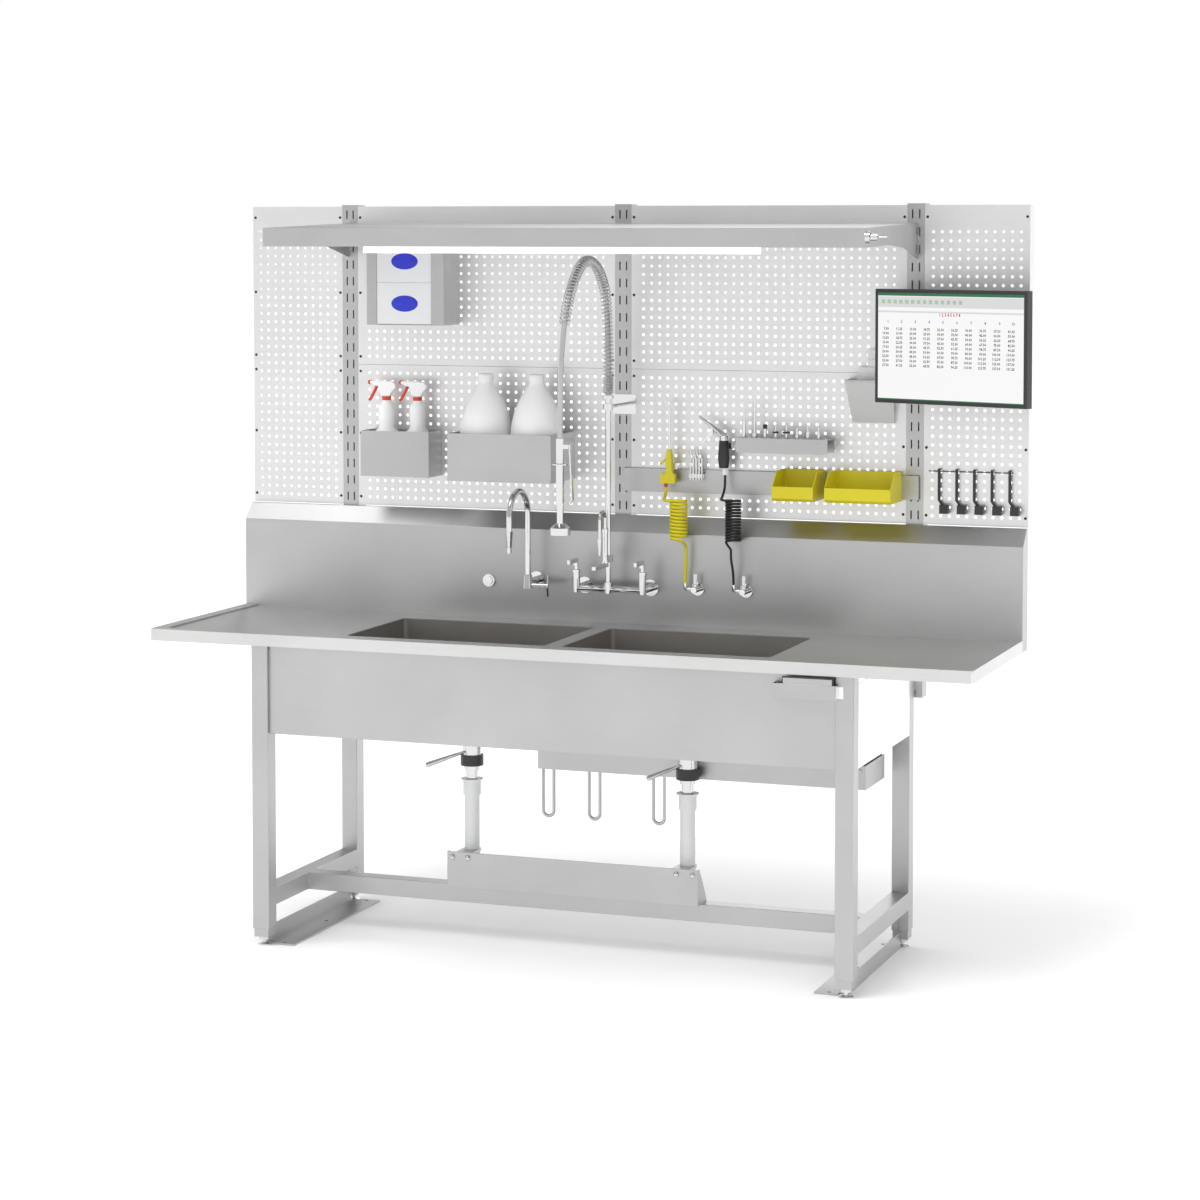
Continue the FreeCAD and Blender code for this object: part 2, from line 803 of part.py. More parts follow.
def lamp():
    half = hood.lamp_width / 2
    low, high = hood.lamp_bottom, hood.lamp_bottom + hood.lamp_height
    middle = -hood.lamp_y
    outline = ((middle - half, low), (middle + half, low), (middle + half, high - hood.lamp_chamfer),
               (middle + half - hood.lamp_chamfer, high), (middle - half + hood.lamp_chamfer, high),
               (middle - half, high - hood.lamp_chamfer))
    parts = [prism("lamp_housing", "X", [outline], -hood.lamp_half_length, hood.lamp_half_length)]
    under = hood.lip_top - fit.sheet + hood.bracket_gap
    for side, sign in SIDES:
        edges = span(sign, hood.bracket_x, hood.bracket_x + hood.bracket_length)
        parts.append(block(f"{side}_lamp_bracket", *edges, middle - hood.bracket_width / 2,
                           middle + hood.bracket_width / 2, high, under))
    node(join("lamp", parts))


def light_switch():
    flange, body = hood.switch_flange, hood.switch_flange + hood.switch_body
    profile = ((0, 0), (hood.switch_flange_radius, 0), (hood.switch_flange_radius, flange),
               (hood.switch_body_radius, flange), (hood.switch_body_radius, body),
               (hood.switch_stem_radius, body), (hood.switch_stem_radius, body + hood.switch_stem),
               (0, body + hood.switch_stem))
    node(turned("light_switch", "X", profile, hood.half_length, -hood.switch_y, hood.switch_z, 12))


# Glove-box holder and the two boxes in it
glove = Group("glove", {
    "left": 784.0,
    "right": 531.0,
    "bottom": 1776.0,
    "top": 2031.0,
    "depth": 110.0,
    "left_flange": 33.0,
    "right_flange": 42.0,
})


def sheet_tray(name, x0, x1, front, z0, z1):
    sheet_wall = fit.sheet
    body = block(name + "_body", x0, x1, front, bench.back, z0, z1)
    space = block(name + "_space", x0 + sheet_wall, x1 - sheet_wall, front + sheet_wall,
                  bench.back - sheet_wall, z0 + sheet_wall, z1 + fit.overrun)
    return minus(name, body, [space])


def glove_holder():
    front = bench.back - glove.depth
    tray = sheet_tray("glove_tray", -glove.left, -glove.right, front, glove.bottom, glove.top)
    window = block("glove_window", glove.left_flange - glove.left, -glove.right - glove.right_flange,
                   front - fit.overrun, front + fit.sheet, glove.bottom + fit.sheet,
                   glove.top + fit.overrun)
    node(minus("glove_holder", tray, [window]))
    boxes = []
    middle = (glove.bottom + fit.sheet + glove.top) / 2
    edge = fit.sheet + fit.gap
    for name, low, high in (("lower", glove.bottom + edge, middle), ("upper", middle + fit.gap, glove.top)):
        boxes.append(block(f"{name}_glove_box", edge - glove.left, -glove.right - edge,
                           front + edge, bench.back - edge, low, high))
    node(group("glove_boxes", boxes))


# Wall trays with two spray bottles and two jugs
tray = Group("tray", {
    "bottle_left": 811.0,
    "bottle_right": 586.0,
    "bottle_depth": 100.0,
    "bottle_bottom": 1317.0,
    "bottle_top": 1455.0,
    "jug_left": 483.0,
    "jug_right": 154.0,
    "jug_depth": 200.0,
    "jug_bottom": 1320.0,
    "jug_top": 1461.0,
})
spray = Group("spray", {
    "left_x": 746.0,
    "right_x": 644.0,
    "radius": 40.0,
    "waist_radius": 24.0,
    "neck_radius": 11.0,
    "body_height": 128.0,
    "shoulder_height": 142.0,
    "waist_top": 212.0,
    "neck_height": 226.0,
    "collar_radius": 13.0,
    "collar_height": 13.0,
    "head_width": 24.0,
    "head_height": 46.0,
    "head_reach": 60.0,
    "head_back": 33.0,
    "slot_width": 13.0,
    "slot_near": 24.0,
    "slot_far": 52.0,
    "slot_roof": 16.0,
    "trigger_width": 12.0,
    "trigger_thick": 8.0,
    "trigger_drop": 42.0,
    "trigger_reach": 22.0,
    "trigger_pivot": 34.0,
})
jug = Group("jug", {
    "radius": 80.5,
    "height": 312.0,
    "margin": 0.5,
    "neck_radius": 21.0,
    "rim_radius": 24.0,
})
# Radius and height of the jug's side, as shares of its radius and height
JUG_SIDE_SHARES = ((0.96, 0), (1, 0.03), (1, 0.42), (0.97, 0.53), (0.86, 0.65), (0.52, 0.82))
bottle_floor = tray.bottle_bottom + fit.sheet + fit.gap
jug_floor = tray.jug_bottom + fit.sheet + fit.gap
bottle_y = bench.back - tray.bottle_depth / 2
jug_y = bench.back - tray.jug_depth / 2


def wall_trays():
    bottles = sheet_tray("bottle_tray", -tray.bottle_left, -tray.bottle_right,
                         bench.back - tray.bottle_depth, tray.bottle_bottom, tray.bottle_top)
    jugs = sheet_tray("jug_tray", -tray.jug_left, -tray.jug_right,
                      bench.back - tray.jug_depth, tray.jug_bottom, tray.jug_top)
    node(group("wall_trays", [bottles, jugs]))


def spray_bottle(side, x):
    floor = bottle_floor
    profile = (
        (0, 0), (spray.radius, 0), (spray.radius, spray.body_height),
        (spray.waist_radius, spray.shoulder_height), (spray.waist_radius, spray.waist_top),
        (spray.neck_radius, spray.neck_height),
        (spray.collar_radius, spray.neck_height),
        (spray.collar_radius, spray.neck_height + spray.collar_height),
        (0, spray.neck_height + spray.collar_height),
    )
    body = turned(f"{side}_bottle_body", "Z", profile, floor, x, bottle_y, 16)
    low = floor + spray.neck_height + spray.collar_height
    high = low + spray.head_height
    nose = high - spray.head_height / 5
    outline = (
        (x - spray.head_reach, nose), (x - spray.collar_radius, low), (x + spray.collar_radius, low),
        (x + spray.head_back, nose - spray.head_height / 5),
        (x + spray.head_back * 2 / 3, high), (x - spray.head_reach, high),
    )
    near, far = bottle_y - spray.head_width / 2, bottle_y + spray.head_width / 2
    head = prism(f"{side}_head_block", "Y", [outline], near, far)
    roof = high - spray.slot_roof
    slot = block(f"{side}_head_slot", x - spray.slot_far, x - spray.slot_near,
                 bottle_y - spray.slot_width / 2, bottle_y + spray.slot_width / 2, low, roof)
    head = minus(f"{side}_spray_head", head, [slot])
    node(join(f"{side}_spray_bottle", [body, head]))
    pull = roof - fit.gap
    thick = spray.trigger_thick / 2
    tip_x = x - spray.trigger_pivot - spray.trigger_reach
    tip_z = pull - spray.trigger_drop
    lever = (
        (x - spray.trigger_pivot - thick, pull), (tip_x - thick, tip_z), (tip_x + thick, tip_z - thick),
        (x - spray.trigger_pivot + thick, pull - thick), (x - spray.trigger_pivot + thick, pull),
    )
    node(prism(f"{side}_spray_trigger", "Y", [lever], bottle_y - spray.trigger_width / 2,
               bottle_y + spray.trigger_width / 2))


def jugs():
    neck = jug.height * 0.92
    lip = jug.height * 0.97
    profile = [(0, 0)]
    profile += [(jug.radius * wide, jug.height * high) for wide, high in JUG_SIDE_SHARES]
    profile += [(jug.neck_radius, neck), (jug.neck_radius, lip), (jug.rim_radius, lip),
                (jug.rim_radius, jug.height), (0, jug.height)]
    edge = fit.sheet + jug.margin + jug.radius
    node(turned("left_jug", "Z", profile, jug_floor, edge - tray.jug_left, jug_y, 24))
    node(turned("right_jug", "Z", profile, jug_floor, -tray.jug_right - edge, jug_y, 24))


# Bin rail and its two hanging bins
rail = Group("rail", {
    "left": 5.0,
    "right": 903.0,
    "bottom": 1289.0,
    "top": 1358.0,
    "depth": 10.0,
})
bins = Group("bins", {
    "small_left": 502.0,
    "small_right": 625.0,
    "large_left": 658.0,
    "large_right": 853.0,
    "bottom": 1284.0,
    "top": 1369.0,
    "depth": 129.0,
    "front_top": 1325.0,
    "slope": 46.0,
    "toe": 8.0,
    "wall": 2.5,
    "lip_depth": 7.0,
    "lip_height": 3.0,
})


def bin_rail():
    front = bench.back - rail.depth
    face = front + fit.sheet
    outline = (
        (front, rail.bottom), (front, rail.top), (bench.back, rail.top),
        (bench.back, rail.top - fit.sheet), (face, rail.top - fit.sheet),
        (face, rail.bottom + fit.sheet), (bench.back, rail.bottom + fit.sheet),
        (bench.back, rail.bottom),
    )
    node(prism("bin_rail", "X", [outline], rail.left, rail.right))


def hanging_bin(name, x0, x1):
    back = bench.back - rail.depth - fit.gap
    front = back - bins.depth
    wall = bins.wall
    outline = (
        (front + bins.toe, bins.bottom), (back, bins.bottom), (back, bins.top),
        (front + bins.slope, bins.top), (front, bins.front_top), (front, bins.bottom + bins.toe),
    )
    body = prism(name + "_body", "X", [outline], x0, x1)
    room = bins.toe - wall
    inside = (
        (front + bins.toe, bins.bottom + wall), (back - wall, bins.bottom + wall),
        (back - wall, bins.top + fit.overrun), (front + wall, bins.top + fit.overrun),
        (front + wall, bins.bottom + wall + room),
    )
    space = prism(name + "_space", "X", [inside], x0 + wall, x1 - wall)
    lip = block(name + "_lip", x0, x1, back - wall, back + bins.lip_depth, rail.top + fit.gap,
                rail.top + fit.gap + bins.lip_height)
    node(join(name, [minus(name + "_shell", body, [space]), lip]))


# Document pocket: a leaning wedge of sheet on the right bay
pocket = Group("pocket", {
    "top_left": 693.0,
    "top_right": 836.0,
    "bottom_left": 707.0,
    "bottom_right": 831.0,
    "bottom": 1508.0,
    "top": 1632.0,
    "top_depth": 50.0,
    "bottom_depth": 12.0,
    "rim_height": 7.0,
    "rim_depth": 2.0,
})


def wedge(name, inset, low, high):
    item = doc.addObject("Part::Wedge", name)
    bind(item, "Ymax", high - low)
    bind(item, "Ymin", 0)
    bind(item, "Xmin", pocket.bottom_left + inset)
    bind(item, "Xmax", pocket.bottom_right - inset)
    bind(item, "X2min", pocket.top_left + inset)
    bind(item, "X2max", pocket.top_right - inset)
    bind(item, "Zmin", inset)
    bind(item, "Zmax", pocket.bottom_depth - inset)
    bind(item, "Z2min", inset)
    bind(item, "Z2max", pocket.top_depth - inset)
    return seat(item, 0, bench.back, low, FreeCAD.Rotation(FreeCAD.Vector(1, 0, 0), 90))


def document_pocket():
    body = wedge("pocket_body", 0, pocket.bottom, pocket.top)
    space = wedge("pocket_space", fit.sheet, pocket.bottom + fit.sheet, pocket.top)
    front = bench.back - pocket.top_depth
    rim = block("pocket_rim", pocket.top_left, pocket.top_right, front - pocket.rim_depth,
                front + fit.sheet, pocket.top - pocket.rim_height, pocket.top)
    node(join("document_pocket", [minus("pocket_shell", body, [space]), rim]))


# Monitor on a wall arm: the arm's hub carries a knuckle, and the monitor tilts on its barrel
screen = Group("screen", {
    "width": 505.0,
    "height": 320.0,
    "thick": 28.0,
    "centre_x": 1055.0,
    "centre_y": 100.0,
    "centre_z": 1737.0,
    "turn": -20.9,
    "pivot_back": 64.0,
    "hub_radius": 18.0,
    "hub_height": 40.0,
    "neck_width": 16.0,
    "barrel_radius": 9.0,
    "barrel_back": 26.0,
    "barrel_length": 50.0,
    "lug_thick": 6.0,
    "plate_size": 100.0,
    "plate_thick": 4.0,
    "arm_width": 30.0,
    "arm_height": 34.0,
    "wall_plate_width": 80.0,
    "wall_plate_height": 110.0,
    "wall_plate_thick": 6.0,
    "edge_radius": 4.0,
})
screen_turn = math.radians(float(screen.turn))
pivot_x = screen.centre_x - screen.pivot_back * math.sin(screen_turn)
pivot_y = screen.centre_y + screen.pivot_back * math.cos(screen_turn)


def stand_turned(item):
    spin = FreeCAD.Rotation(FreeCAD.Vector(0, 0, 1), float(screen.turn))
    return seat(item, pivot_x, pivot_y, screen.centre_z, spin)


def monitor_parts():
    x, y, z = pivot_x, pivot_y, screen.centre_z
    plate = block("arm_plate", x - screen.wall_plate_width / 2, x + screen.wall_plate_width / 2,
                  bench.back - screen.wall_plate_thick, bench.back,
                  z - screen.wall_plate_height / 2, z + screen.wall_plate_height / 2)
    bar = block("arm_bar", x - screen.arm_width / 2, x + screen.arm_width / 2,
                y, bench.back - screen.wall_plate_thick,
                z - fit.gap - screen.arm_height, z - fit.gap)
    hub = rod("arm_hub", "Z", screen.hub_radius, z - fit.gap - screen.hub_height, z - fit.gap, x, y)
    node(join("monitor_arm", [plate, bar, hub]))

    back = screen.thick / 2 - screen.pivot_back
    barrel_y = back + screen.barrel_back
    knob = rod("knuckle_hub", "Z", screen.hub_radius, 0, screen.hub_height, 0, 0)
    neck_z = screen.hub_height / 2
    neck = block("knuckle_neck", -screen.neck_width / 2, screen.neck_width / 2, barrel_y, 0,
                 neck_z - screen.barrel_radius, neck_z + screen.barrel_radius)
    half = screen.barrel_length / 2
    barrel = rod("knuckle_barrel", "X", screen.barrel_radius, -half, half, barrel_y, neck_z)
    node(stand_turned(join("monitor_knuckle", [knob, neck, barrel])))

    width, height = screen.width / 2, screen.height / 2
    front = back - screen.thick
    case = block("monitor_case", -width, width, front, back, -height, height)
    case = rounded("monitor_eased", case, screen.edge_radius,
                   lambda edge, middle, way: middle.y > float(back) - 1e-3)
    half_plate = screen.plate_size / 2
    plate = block("monitor_plate", -half_plate, half_plate, back, back + screen.plate_thick,
                  -half_plate, half_plate)
    parts = [case, plate]
    for side, sign in SIDES:
        edges = span(sign, half + fit.gap, half + fit.gap + screen.lug_thick)
        web = block(f"{side}_lug_web", *edges, back, barrel_y, neck_z - screen.barrel_radius,
                    neck_z + screen.barrel_radius)
        tip = rod(f"{side}_lug_tip", "X", screen.barrel_radius, *edges, barrel_y, neck_z)
        parts += [web, tip]
    node(stand_turned(join("monitor", parts)))


# Tool hooks on the right wing: five straps with rubber ends, joined by a thin bar
hook = Group("hook", {
    "first_x": 963.0,
    "pitch": 51.2,
    "count": 5,
    "bar_left": 933.0,
    "bar_right": 1174.0,
    "bar_z": 1373.0,
    "bar_radius": 1.5,
    "bar_gap": 6.0,
    "width": 8.0,
    "thick": 4.0,
    "top": 1381.0,
    "bend": 1291.0,
    "end_z": 1266.0,
    "end_shift": 17.0,
    "end_forward": 16.0,
    "end_size": 25.0,
})


def tool_hooks():
    back = bench.back - hook.bar_gap + hook.bar_radius
    front = back - 2 * hook.bar_radius - hook.thick
    middle = bench.back - hook.bar_gap
    parts = [rod("hook_bar", "X", hook.bar_radius, hook.bar_left, hook.bar_right, middle, hook.bar_z, 6)]
    for name, x in (("left", hook.bar_left), ("right", hook.bar_right)):
        edges = (x - hook.bar_radius, x + hook.bar_radius)
        parts.append(block(f"{name}_bar_foot", *edges, middle, bench.back,
                           hook.bar_z - hook.bar_radius, hook.bar_z + hook.bar_radius))
    half = hook.width / 2
    for number in range(int(float(hook.count))):
        x = hook.first_x + hook.pitch * number
        strap = (
            (x - half, hook.top), (x - half, hook.bend), (x - half + hook.end_shift, hook.end_z),
            (x + half + hook.end_shift, hook.end_z), (x + half, hook.bend), (x + half, hook.top),
        )
        parts.append(prism(f"hook_strap_{number}", "Y", [strap], front, front + hook.thick + fit.gap))
        end_x = x + hook.end_shift
        reach = hook.end_size / 2
        parts.append(block(f"hook_end_{number}", end_x - reach, end_x + reach,
                           front - hook.end_forward, front + hook.thick,
                           hook.end_z - reach, hook.end_z + reach))
    node(join("tool_hooks", parts))


# Tool racks: five nozzle tubes in a clip on the rail, and eight adapters on a shelf
rack = Group("rack", {
    "tube_left": 218.0,
    "tube_pitch": 9.0,
    "tube_count": 5,
    "tube_radius": 3.2,
    "tube_bottom": 1327.0,
    "tube_top": 1391.0,
    "tip_top": 1416.0,
    "tip_lean": 8.0,
    "tip_radius": 2.2,
    "tube_forward": 12.0,
    "clip_bottom": 1334.0,
    "clip_top": 1346.0,
    "clip_margin": 5.0,
    "shelf_left": 375.0,
    "shelf_right": 651.0,
    "shelf_bottom": 1417.0,
    "shelf_top": 1460.0,
    "shelf_depth": 80.0,
    "adapter_left": 391.0,
    "adapter_pitch": 32.1,
    "adapter_forward": 50.0,
})
# Each adapter: base radius, base height, stem radius, height and, if it has one, a cap's radius
ADAPTERS = (
    ("bottle_adapter", 6.5, 50.0, 4.0, 83.0, 0),
    ("probe_adapter", 8.0, 12.0, 3.0, 103.0, 0),
    ("capped_adapter", 5.5, 26.0, 4.5, 27.0, 6.5),
    ("small_cup_adapter", 5.0, 14.0, 2.5, 34.0, 9.5),
    ("large_cup_adapter", 5.0, 14.0, 2.5, 34.0, 11.5),
    ("short_adapter", 6.5, 10.0, 4.0, 29.0, 0),
    ("tapered_adapter", 6.0, 20.0, 2.5, 39.0, 0),
    ("slim_adapter", 5.0, 20.0, 2.5, 39.0, 0),
)
cap = Group("cap", {
    "height": 12.0,
    "disc": 5.0,
})


def nozzle_rack():
    y = bench.back - rail.depth - rack.tube_forward
    count = int(float(rack.tube_count))
    last = rack.tube_left + rack.tube_pitch * (count - 1)
    clip = block("nozzle_clip", rack.tube_left - rack.clip_margin, last + rack.clip_margin,
                 y, bench.back - rail.depth, rack.clip_bottom, rack.clip_top)
    parts = [clip]
    for number in range(count):
        x = rack.tube_left + rack.tube_pitch * number
        parts.append(rod(f"nozzle_tube_{number}", "Z", rack.tube_radius, rack.tube_bottom,
                         rack.tube_top, x, y, 6))
        low = (x, y, rack.tube_top - rack.tip_radius)
        high = (x - rack.tip_lean, y, rack.tip_top)
        parts.append(strut(f"nozzle_tip_{number}", rack.tip_radius, rack.tip_radius, low, high, 6))
    return join("nozzle_rack", parts)


def adapter_shelf():
    front = bench.back - rack.shelf_depth
    low, high = rack.shelf_bottom, rack.shelf_top
    outline = (
        (front, low), (front, high), (bench.back, high), (bench.back, low),
        (bench.back - fit.sheet, low), (bench.back - fit.sheet, high - fit.sheet),
        (front + fit.sheet, high - fit.sheet), (front + fit.sheet, low),
    )
    parts = [prism("shelf_sheet", "X", [outline], rack.shelf_left, rack.shelf_right)]
    for number, (name, base_r, base_h, stem_r, total, cap_r) in enumerate(ADAPTERS):
        sizes = {"base": base_r, "base_height": base_h, "stem": stem_r, "height": total}
        if cap_r:
            sizes["cap"] = cap_r
        own = Group(name, sizes)
        if cap_r:
            thick = cap.height if own.cap < own.base + fit.sheet else cap.disc
            start = own.base_height
            profile = ((0, 0), (own.base, 0), (own.base, start), (own.cap, start),
                       (own.cap, start + thick), (own.stem, start + thick),
                       (own.stem, own.height + thick), (0, own.height + thick))
        else:
            profile = ((0, 0), (own.base, 0), (own.base, own.base_height),
                       (own.stem, own.base_height), (own.stem, own.height), (0, own.height))
        x = rack.adapter_left + rack.adapter_pitch * number
        parts.append(turned(name, "Z", profile, high, x, bench.back - rack.adapter_forward, 8))
    return join("adapter_shelf", parts)


def tool_racks():
    clips = []
    back = bench.back
    for name, x, front, z in (("yellow", peg.yellow_x, gun.yellow_half, peg.yellow_z),
                              ("black", peg.black_x, gun.black_radius, peg.black_z)):
        clips.append(block(f"{name}_gun_peg", x - peg.half_width, x + peg.half_width,
                           gun.plane + front + fit.gap, back, z - peg.half_width, z + peg.half_width))
    node(group("tool_racks", [nozzle_rack(), adapter_shelf()] + clips))


# Hose guns: a bent-tube rinse gun and a lever spray gun, held on pegs in the wall
peg = Group("peg", {
    "half_width": 9.0,
    "yellow_x": 172.0,
    "yellow_z": 1368.0,
    "black_x": 340.0,
    "black_z": 1432.0,
})
gun = Group("gun", {
    "plane": 300.0,
    "yellow_x": 160.0,
    "yellow_top": 1418.0,
    "yellow_half": 9.0,
    "yellow_height": 100.0,
    "yellow_width": 45.0,
    "yellow_tube": 4.5,
    "yellow_tube_top": 1537.0,
    "yellow_tip_x": 146.0,
    "yellow_tip_z": 1561.0,
    "yellow_nut_x": 149.0,
    "yellow_nut_radius": 6.5,
    "nut_height": 11.0,
    "trigger_half": 5.0,
    "trigger_reach": 20.0,
    "trigger_thick": 6.0,
    "trigger_drop": 16.0,
    "black_x": 328.0,
    "black_radius": 14.0,
    "black_top": 1448.0,
    "black_height": 80.0,
    "black_bulge": 4.0,
    "black_neck": 12.0,
    "black_neck_height": 14.0,
    "nozzle_radius": 10.0,
    "nozzle_tip_radius": 2.5,
    "nozzle_x": 252.0,
    "nozzle_z": 1518.0,
    "black_nut_x": 332.0,
    "black_nut_radius": 9.5,
    "black_nut_height": 20.0,
    "lever_pivot_x": 292.0,
    "lever_pivot_z": 1471.0,
    "ear_rise": 14.0,
    "lever_thick": 4.0,
    "lever_end_x": 264.0,
    "lever_end_z": 1438.0,
    "lever_half": 4.0,
})
# The rinse gun's side view, as shares of its width to the right and of its height downwards
GUN_SHARES = ((-0.13, 0), (0.13, 0), (0.13, 0.12), (0.19, 0.2), (0.19, 0.5), (0.24, 0.7), (0.43, 0.72),
              (0.43, 1), (-0.57, 1), (-0.57, 0.72), (-0.22, 0.72), (-0.2, 0.3), (-0.16, 0.12))


def yellow_gun():
    near, far = gun.plane - gun.yellow_half, gun.plane + gun.yellow_half
    outline = [(gun.yellow_x + gun.yellow_width * wide, gun.yellow_top - gun.yellow_height * high)
               for wide, high in GUN_SHARES]
    body = prism("gun_body", "Y", [outline], near, far)
    path = [(gun.yellow_x, gun.plane, gun.yellow_top), (gun.yellow_x, gun.plane, gun.yellow_tube_top),
            (gun.yellow_tip_x, gun.plane, gun.yellow_tip_z)]
    tube = bent("gun_tube", path, gun.yellow_tube, gun.yellow_width / 2, 8)
    bottom = gun.yellow_top - gun.yellow_height
    nut = rod("gun_nut", "Z", gun.yellow_nut_radius, bottom - gun.nut_height, bottom,
              gun.yellow_nut_x, gun.plane, 6)
    node(join("yellow_gun", [body, tube, nut]))
    pivot_z = gun.yellow_top - gun.yellow_height * 0.25
    edge = gun.yellow_x - gun.yellow_width * 0.2 - fit.gap
    lever = ((edge, pivot_z), (edge, pivot_z - gun.trigger_thick),
             (edge - gun.trigger_reach, pivot_z - gun.trigger_drop - gun.trigger_thick),
             (edge - gun.trigger_reach, pivot_z - gun.trigger_drop))
    node(prism("yellow_trigger", "Y", [lever], gun.plane - gun.trigger_half,
               gun.plane + gun.trigger_half))


def black_gun():
    x, top_z = gun.black_x, gun.black_top
    bottom = top_z - gun.black_height
    profile = ((0, 0), (gun.black_radius, 0), (gun.black_radius + gun.black_bulge, gun.black_height / 3),
               (gun.black_radius, gun.black_height), (gun.black_neck, gun.black_height),
               (gun.black_neck, gun.black_height + gun.black_neck_height),
               (0, gun.black_height + gun.black_neck_height))
    grip = turned("gun_grip", "Z", profile, bottom, x, gun.plane, 12)
    neck_z = top_z + gun.black_neck_height - fit.sheet
    nozzle = strut("gun_nozzle", gun.nozzle_radius, gun.nozzle_tip_radius,
                   (x + fit.sheet, gun.plane, neck_z), (gun.nozzle_x, gun.plane, gun.nozzle_z), 12)
    nut = rod("black_nut", "Z", gun.black_nut_radius, bottom - gun.black_nut_height, bottom,
              gun.black_nut_x, gun.plane, 6)
    cheek_x = gun.lever_pivot_x
    half = gun.lever_half + fit.gap + fit.sheet
    ears = block("gun_ears", cheek_x - gun.lever_thick, cheek_x + gun.lever_thick,
                 gun.plane - half, gun.plane + half, gun.lever_pivot_z - gun.lever_thick,
                 gun.lever_pivot_z + gun.ear_rise)
    space = block("gun_ear_space", cheek_x - gun.lever_thick - fit.overrun,
                  cheek_x + gun.lever_thick + fit.overrun, gun.plane - half + fit.sheet,
                  gun.plane + half - fit.sheet, gun.lever_pivot_z - gun.lever_thick - fit.overrun,
                  gun.lever_pivot_z + gun.lever_thick * 1.5)
    node(join("black_gun", [minus("gun_fork", join("gun_whole", [grip, nozzle, nut, ears]), [space]),
                            rod("gun_pin", "Y", fit.sheet / 2, gun.plane - half, gun.plane + half,
                                cheek_x, gun.lever_pivot_z, 8)]))
    thick = gun.lever_thick
    lever = (
        (cheek_x - thick, gun.lever_pivot_z + thick), (gun.lever_end_x - thick, gun.lever_end_z),
        (gun.lever_end_x, gun.lever_end_z), (cheek_x + thick, gun.lever_pivot_z - thick),
        (cheek_x + thick, gun.lever_pivot_z + thick),
    )
    body = prism("black_lever_body", "Y", [lever], gun.plane - gun.lever_half, gun.plane + gun.lever_half)
    hole = rod("black_lever_hole", "Y", fit.sheet / 2 + fit.running, gun.plane - half, gun.plane + half,
               cheek_x, gun.lever_pivot_z)
    node(minus("black_trigger", body, [hole]))


# Drains: a strainer body, couplings and a tube under each bowl, with a twist handle
drain = Group("drain", {
    "flange_radius": 57.0,
    "flange_sheet": 1.5,
    "throat_gap": 0.3,
    "throat_depth": 5.0,
    "cup_radius": 38.0,
    "cup_depth": 6.0,
    "taper_height": 12.0,
    "body_radius": 27.5,
    "coupling_radius": 33.5,
    "coupling_top": 541.0,
    "coupling_bottom": 510.0,
    "collar_radius": 23.0,
    "collar_bottom": 497.0,
    "pipe_radius": 18.0,
    "nut_top": 471.0,
    "nut_lip": 462.0,
    "sleeve_radius": 26.0,
    "sleeve_bottom": 424.0,
    "tube_radius": 22.0,
    "tube_bottom": 215.0,
    "handle_start": 550.0,
    "handle_end": 524.0,
    "handle_radius": 4.0,
    "handle_tip_radius": 7.5,
    "left_reach_x": 91.0,
    "left_reach_y": 114.0,
    "right_reach_x": 84.0,
    "right_reach_y": 96.0,
})


def drains():
    floor = bowl.bottom + bowl.sheet
    top_z = floor + drain.flange_sheet
    under = bowl.bottom - drain.throat_depth
    throat = bowl.drain_radius - drain.throat_gap
    profile = (
        (0, top_z - drain.cup_depth), (drain.cup_radius, top_z - drain.cup_depth),
        (drain.cup_radius, top_z), (drain.flange_radius, top_z), (drain.flange_radius, floor),
        (throat, floor), (throat, under), (drain.body_radius, under - drain.taper_height),
        (drain.body_radius, drain.coupling_top),
        (drain.coupling_radius, drain.coupling_top), (drain.coupling_radius, drain.coupling_bottom),
        (drain.collar_radius, drain.coupling_bottom), (drain.collar_radius, drain.collar_bottom),
        (drain.pipe_radius, drain.collar_bottom), (drain.pipe_radius, drain.nut_top),
        (drain.coupling_radius, drain.nut_top), (drain.sleeve_radius, drain.nut_lip),
        (drain.sleeve_radius, drain.sleeve_bottom), (drain.tube_radius, drain.sleeve_bottom),
        (drain.tube_radius, drain.tube_bottom), (0, drain.tube_bottom),
    )
    both = []
    for side, sign in SIDES:
        both.append(turned(f"{side}_drain", "Z", profile, 0, bowl_x * sign, bowl_y, 12))
    node(group("drains", both))
    for side, sign, reach_x, reach_y in (("left", -1, drain.left_reach_x, drain.left_reach_y),
                                         ("right", 1, drain.right_reach_x, drain.right_reach_y)):
        x = bowl_x * sign
        length = math.hypot(float(reach_x), float(reach_y))
        start_share = float(drain.body_radius + fit.gap + fit.running) / length
        start = (x - reach_x * start_share, bowl_y - reach_y * start_share, drain.handle_start)
        tip = (x - reach_x, bowl_y - reach_y, drain.handle_end)
        node(strut(f"{side}_drain_handle", drain.handle_radius, drain.handle_tip_radius, start, tip,
                   10, drain.handle_tip_radius))


# Drain support: a bent plate on the stretcher with a clamp round each drain tube
hold = Group("hold", {
    "half_length": 382.0,
    "front": 100.0,
    "top": 266.0,
    "sheet": 3.0,
    "back": 20.0,
    "gusset_top_depth": 15.0,
    "gusset_bend_y": 34.0,
    "gusset_bend_z": 192.0,
    "clamp_height": 8.0,
    "clamp_wall": 4.0,
})


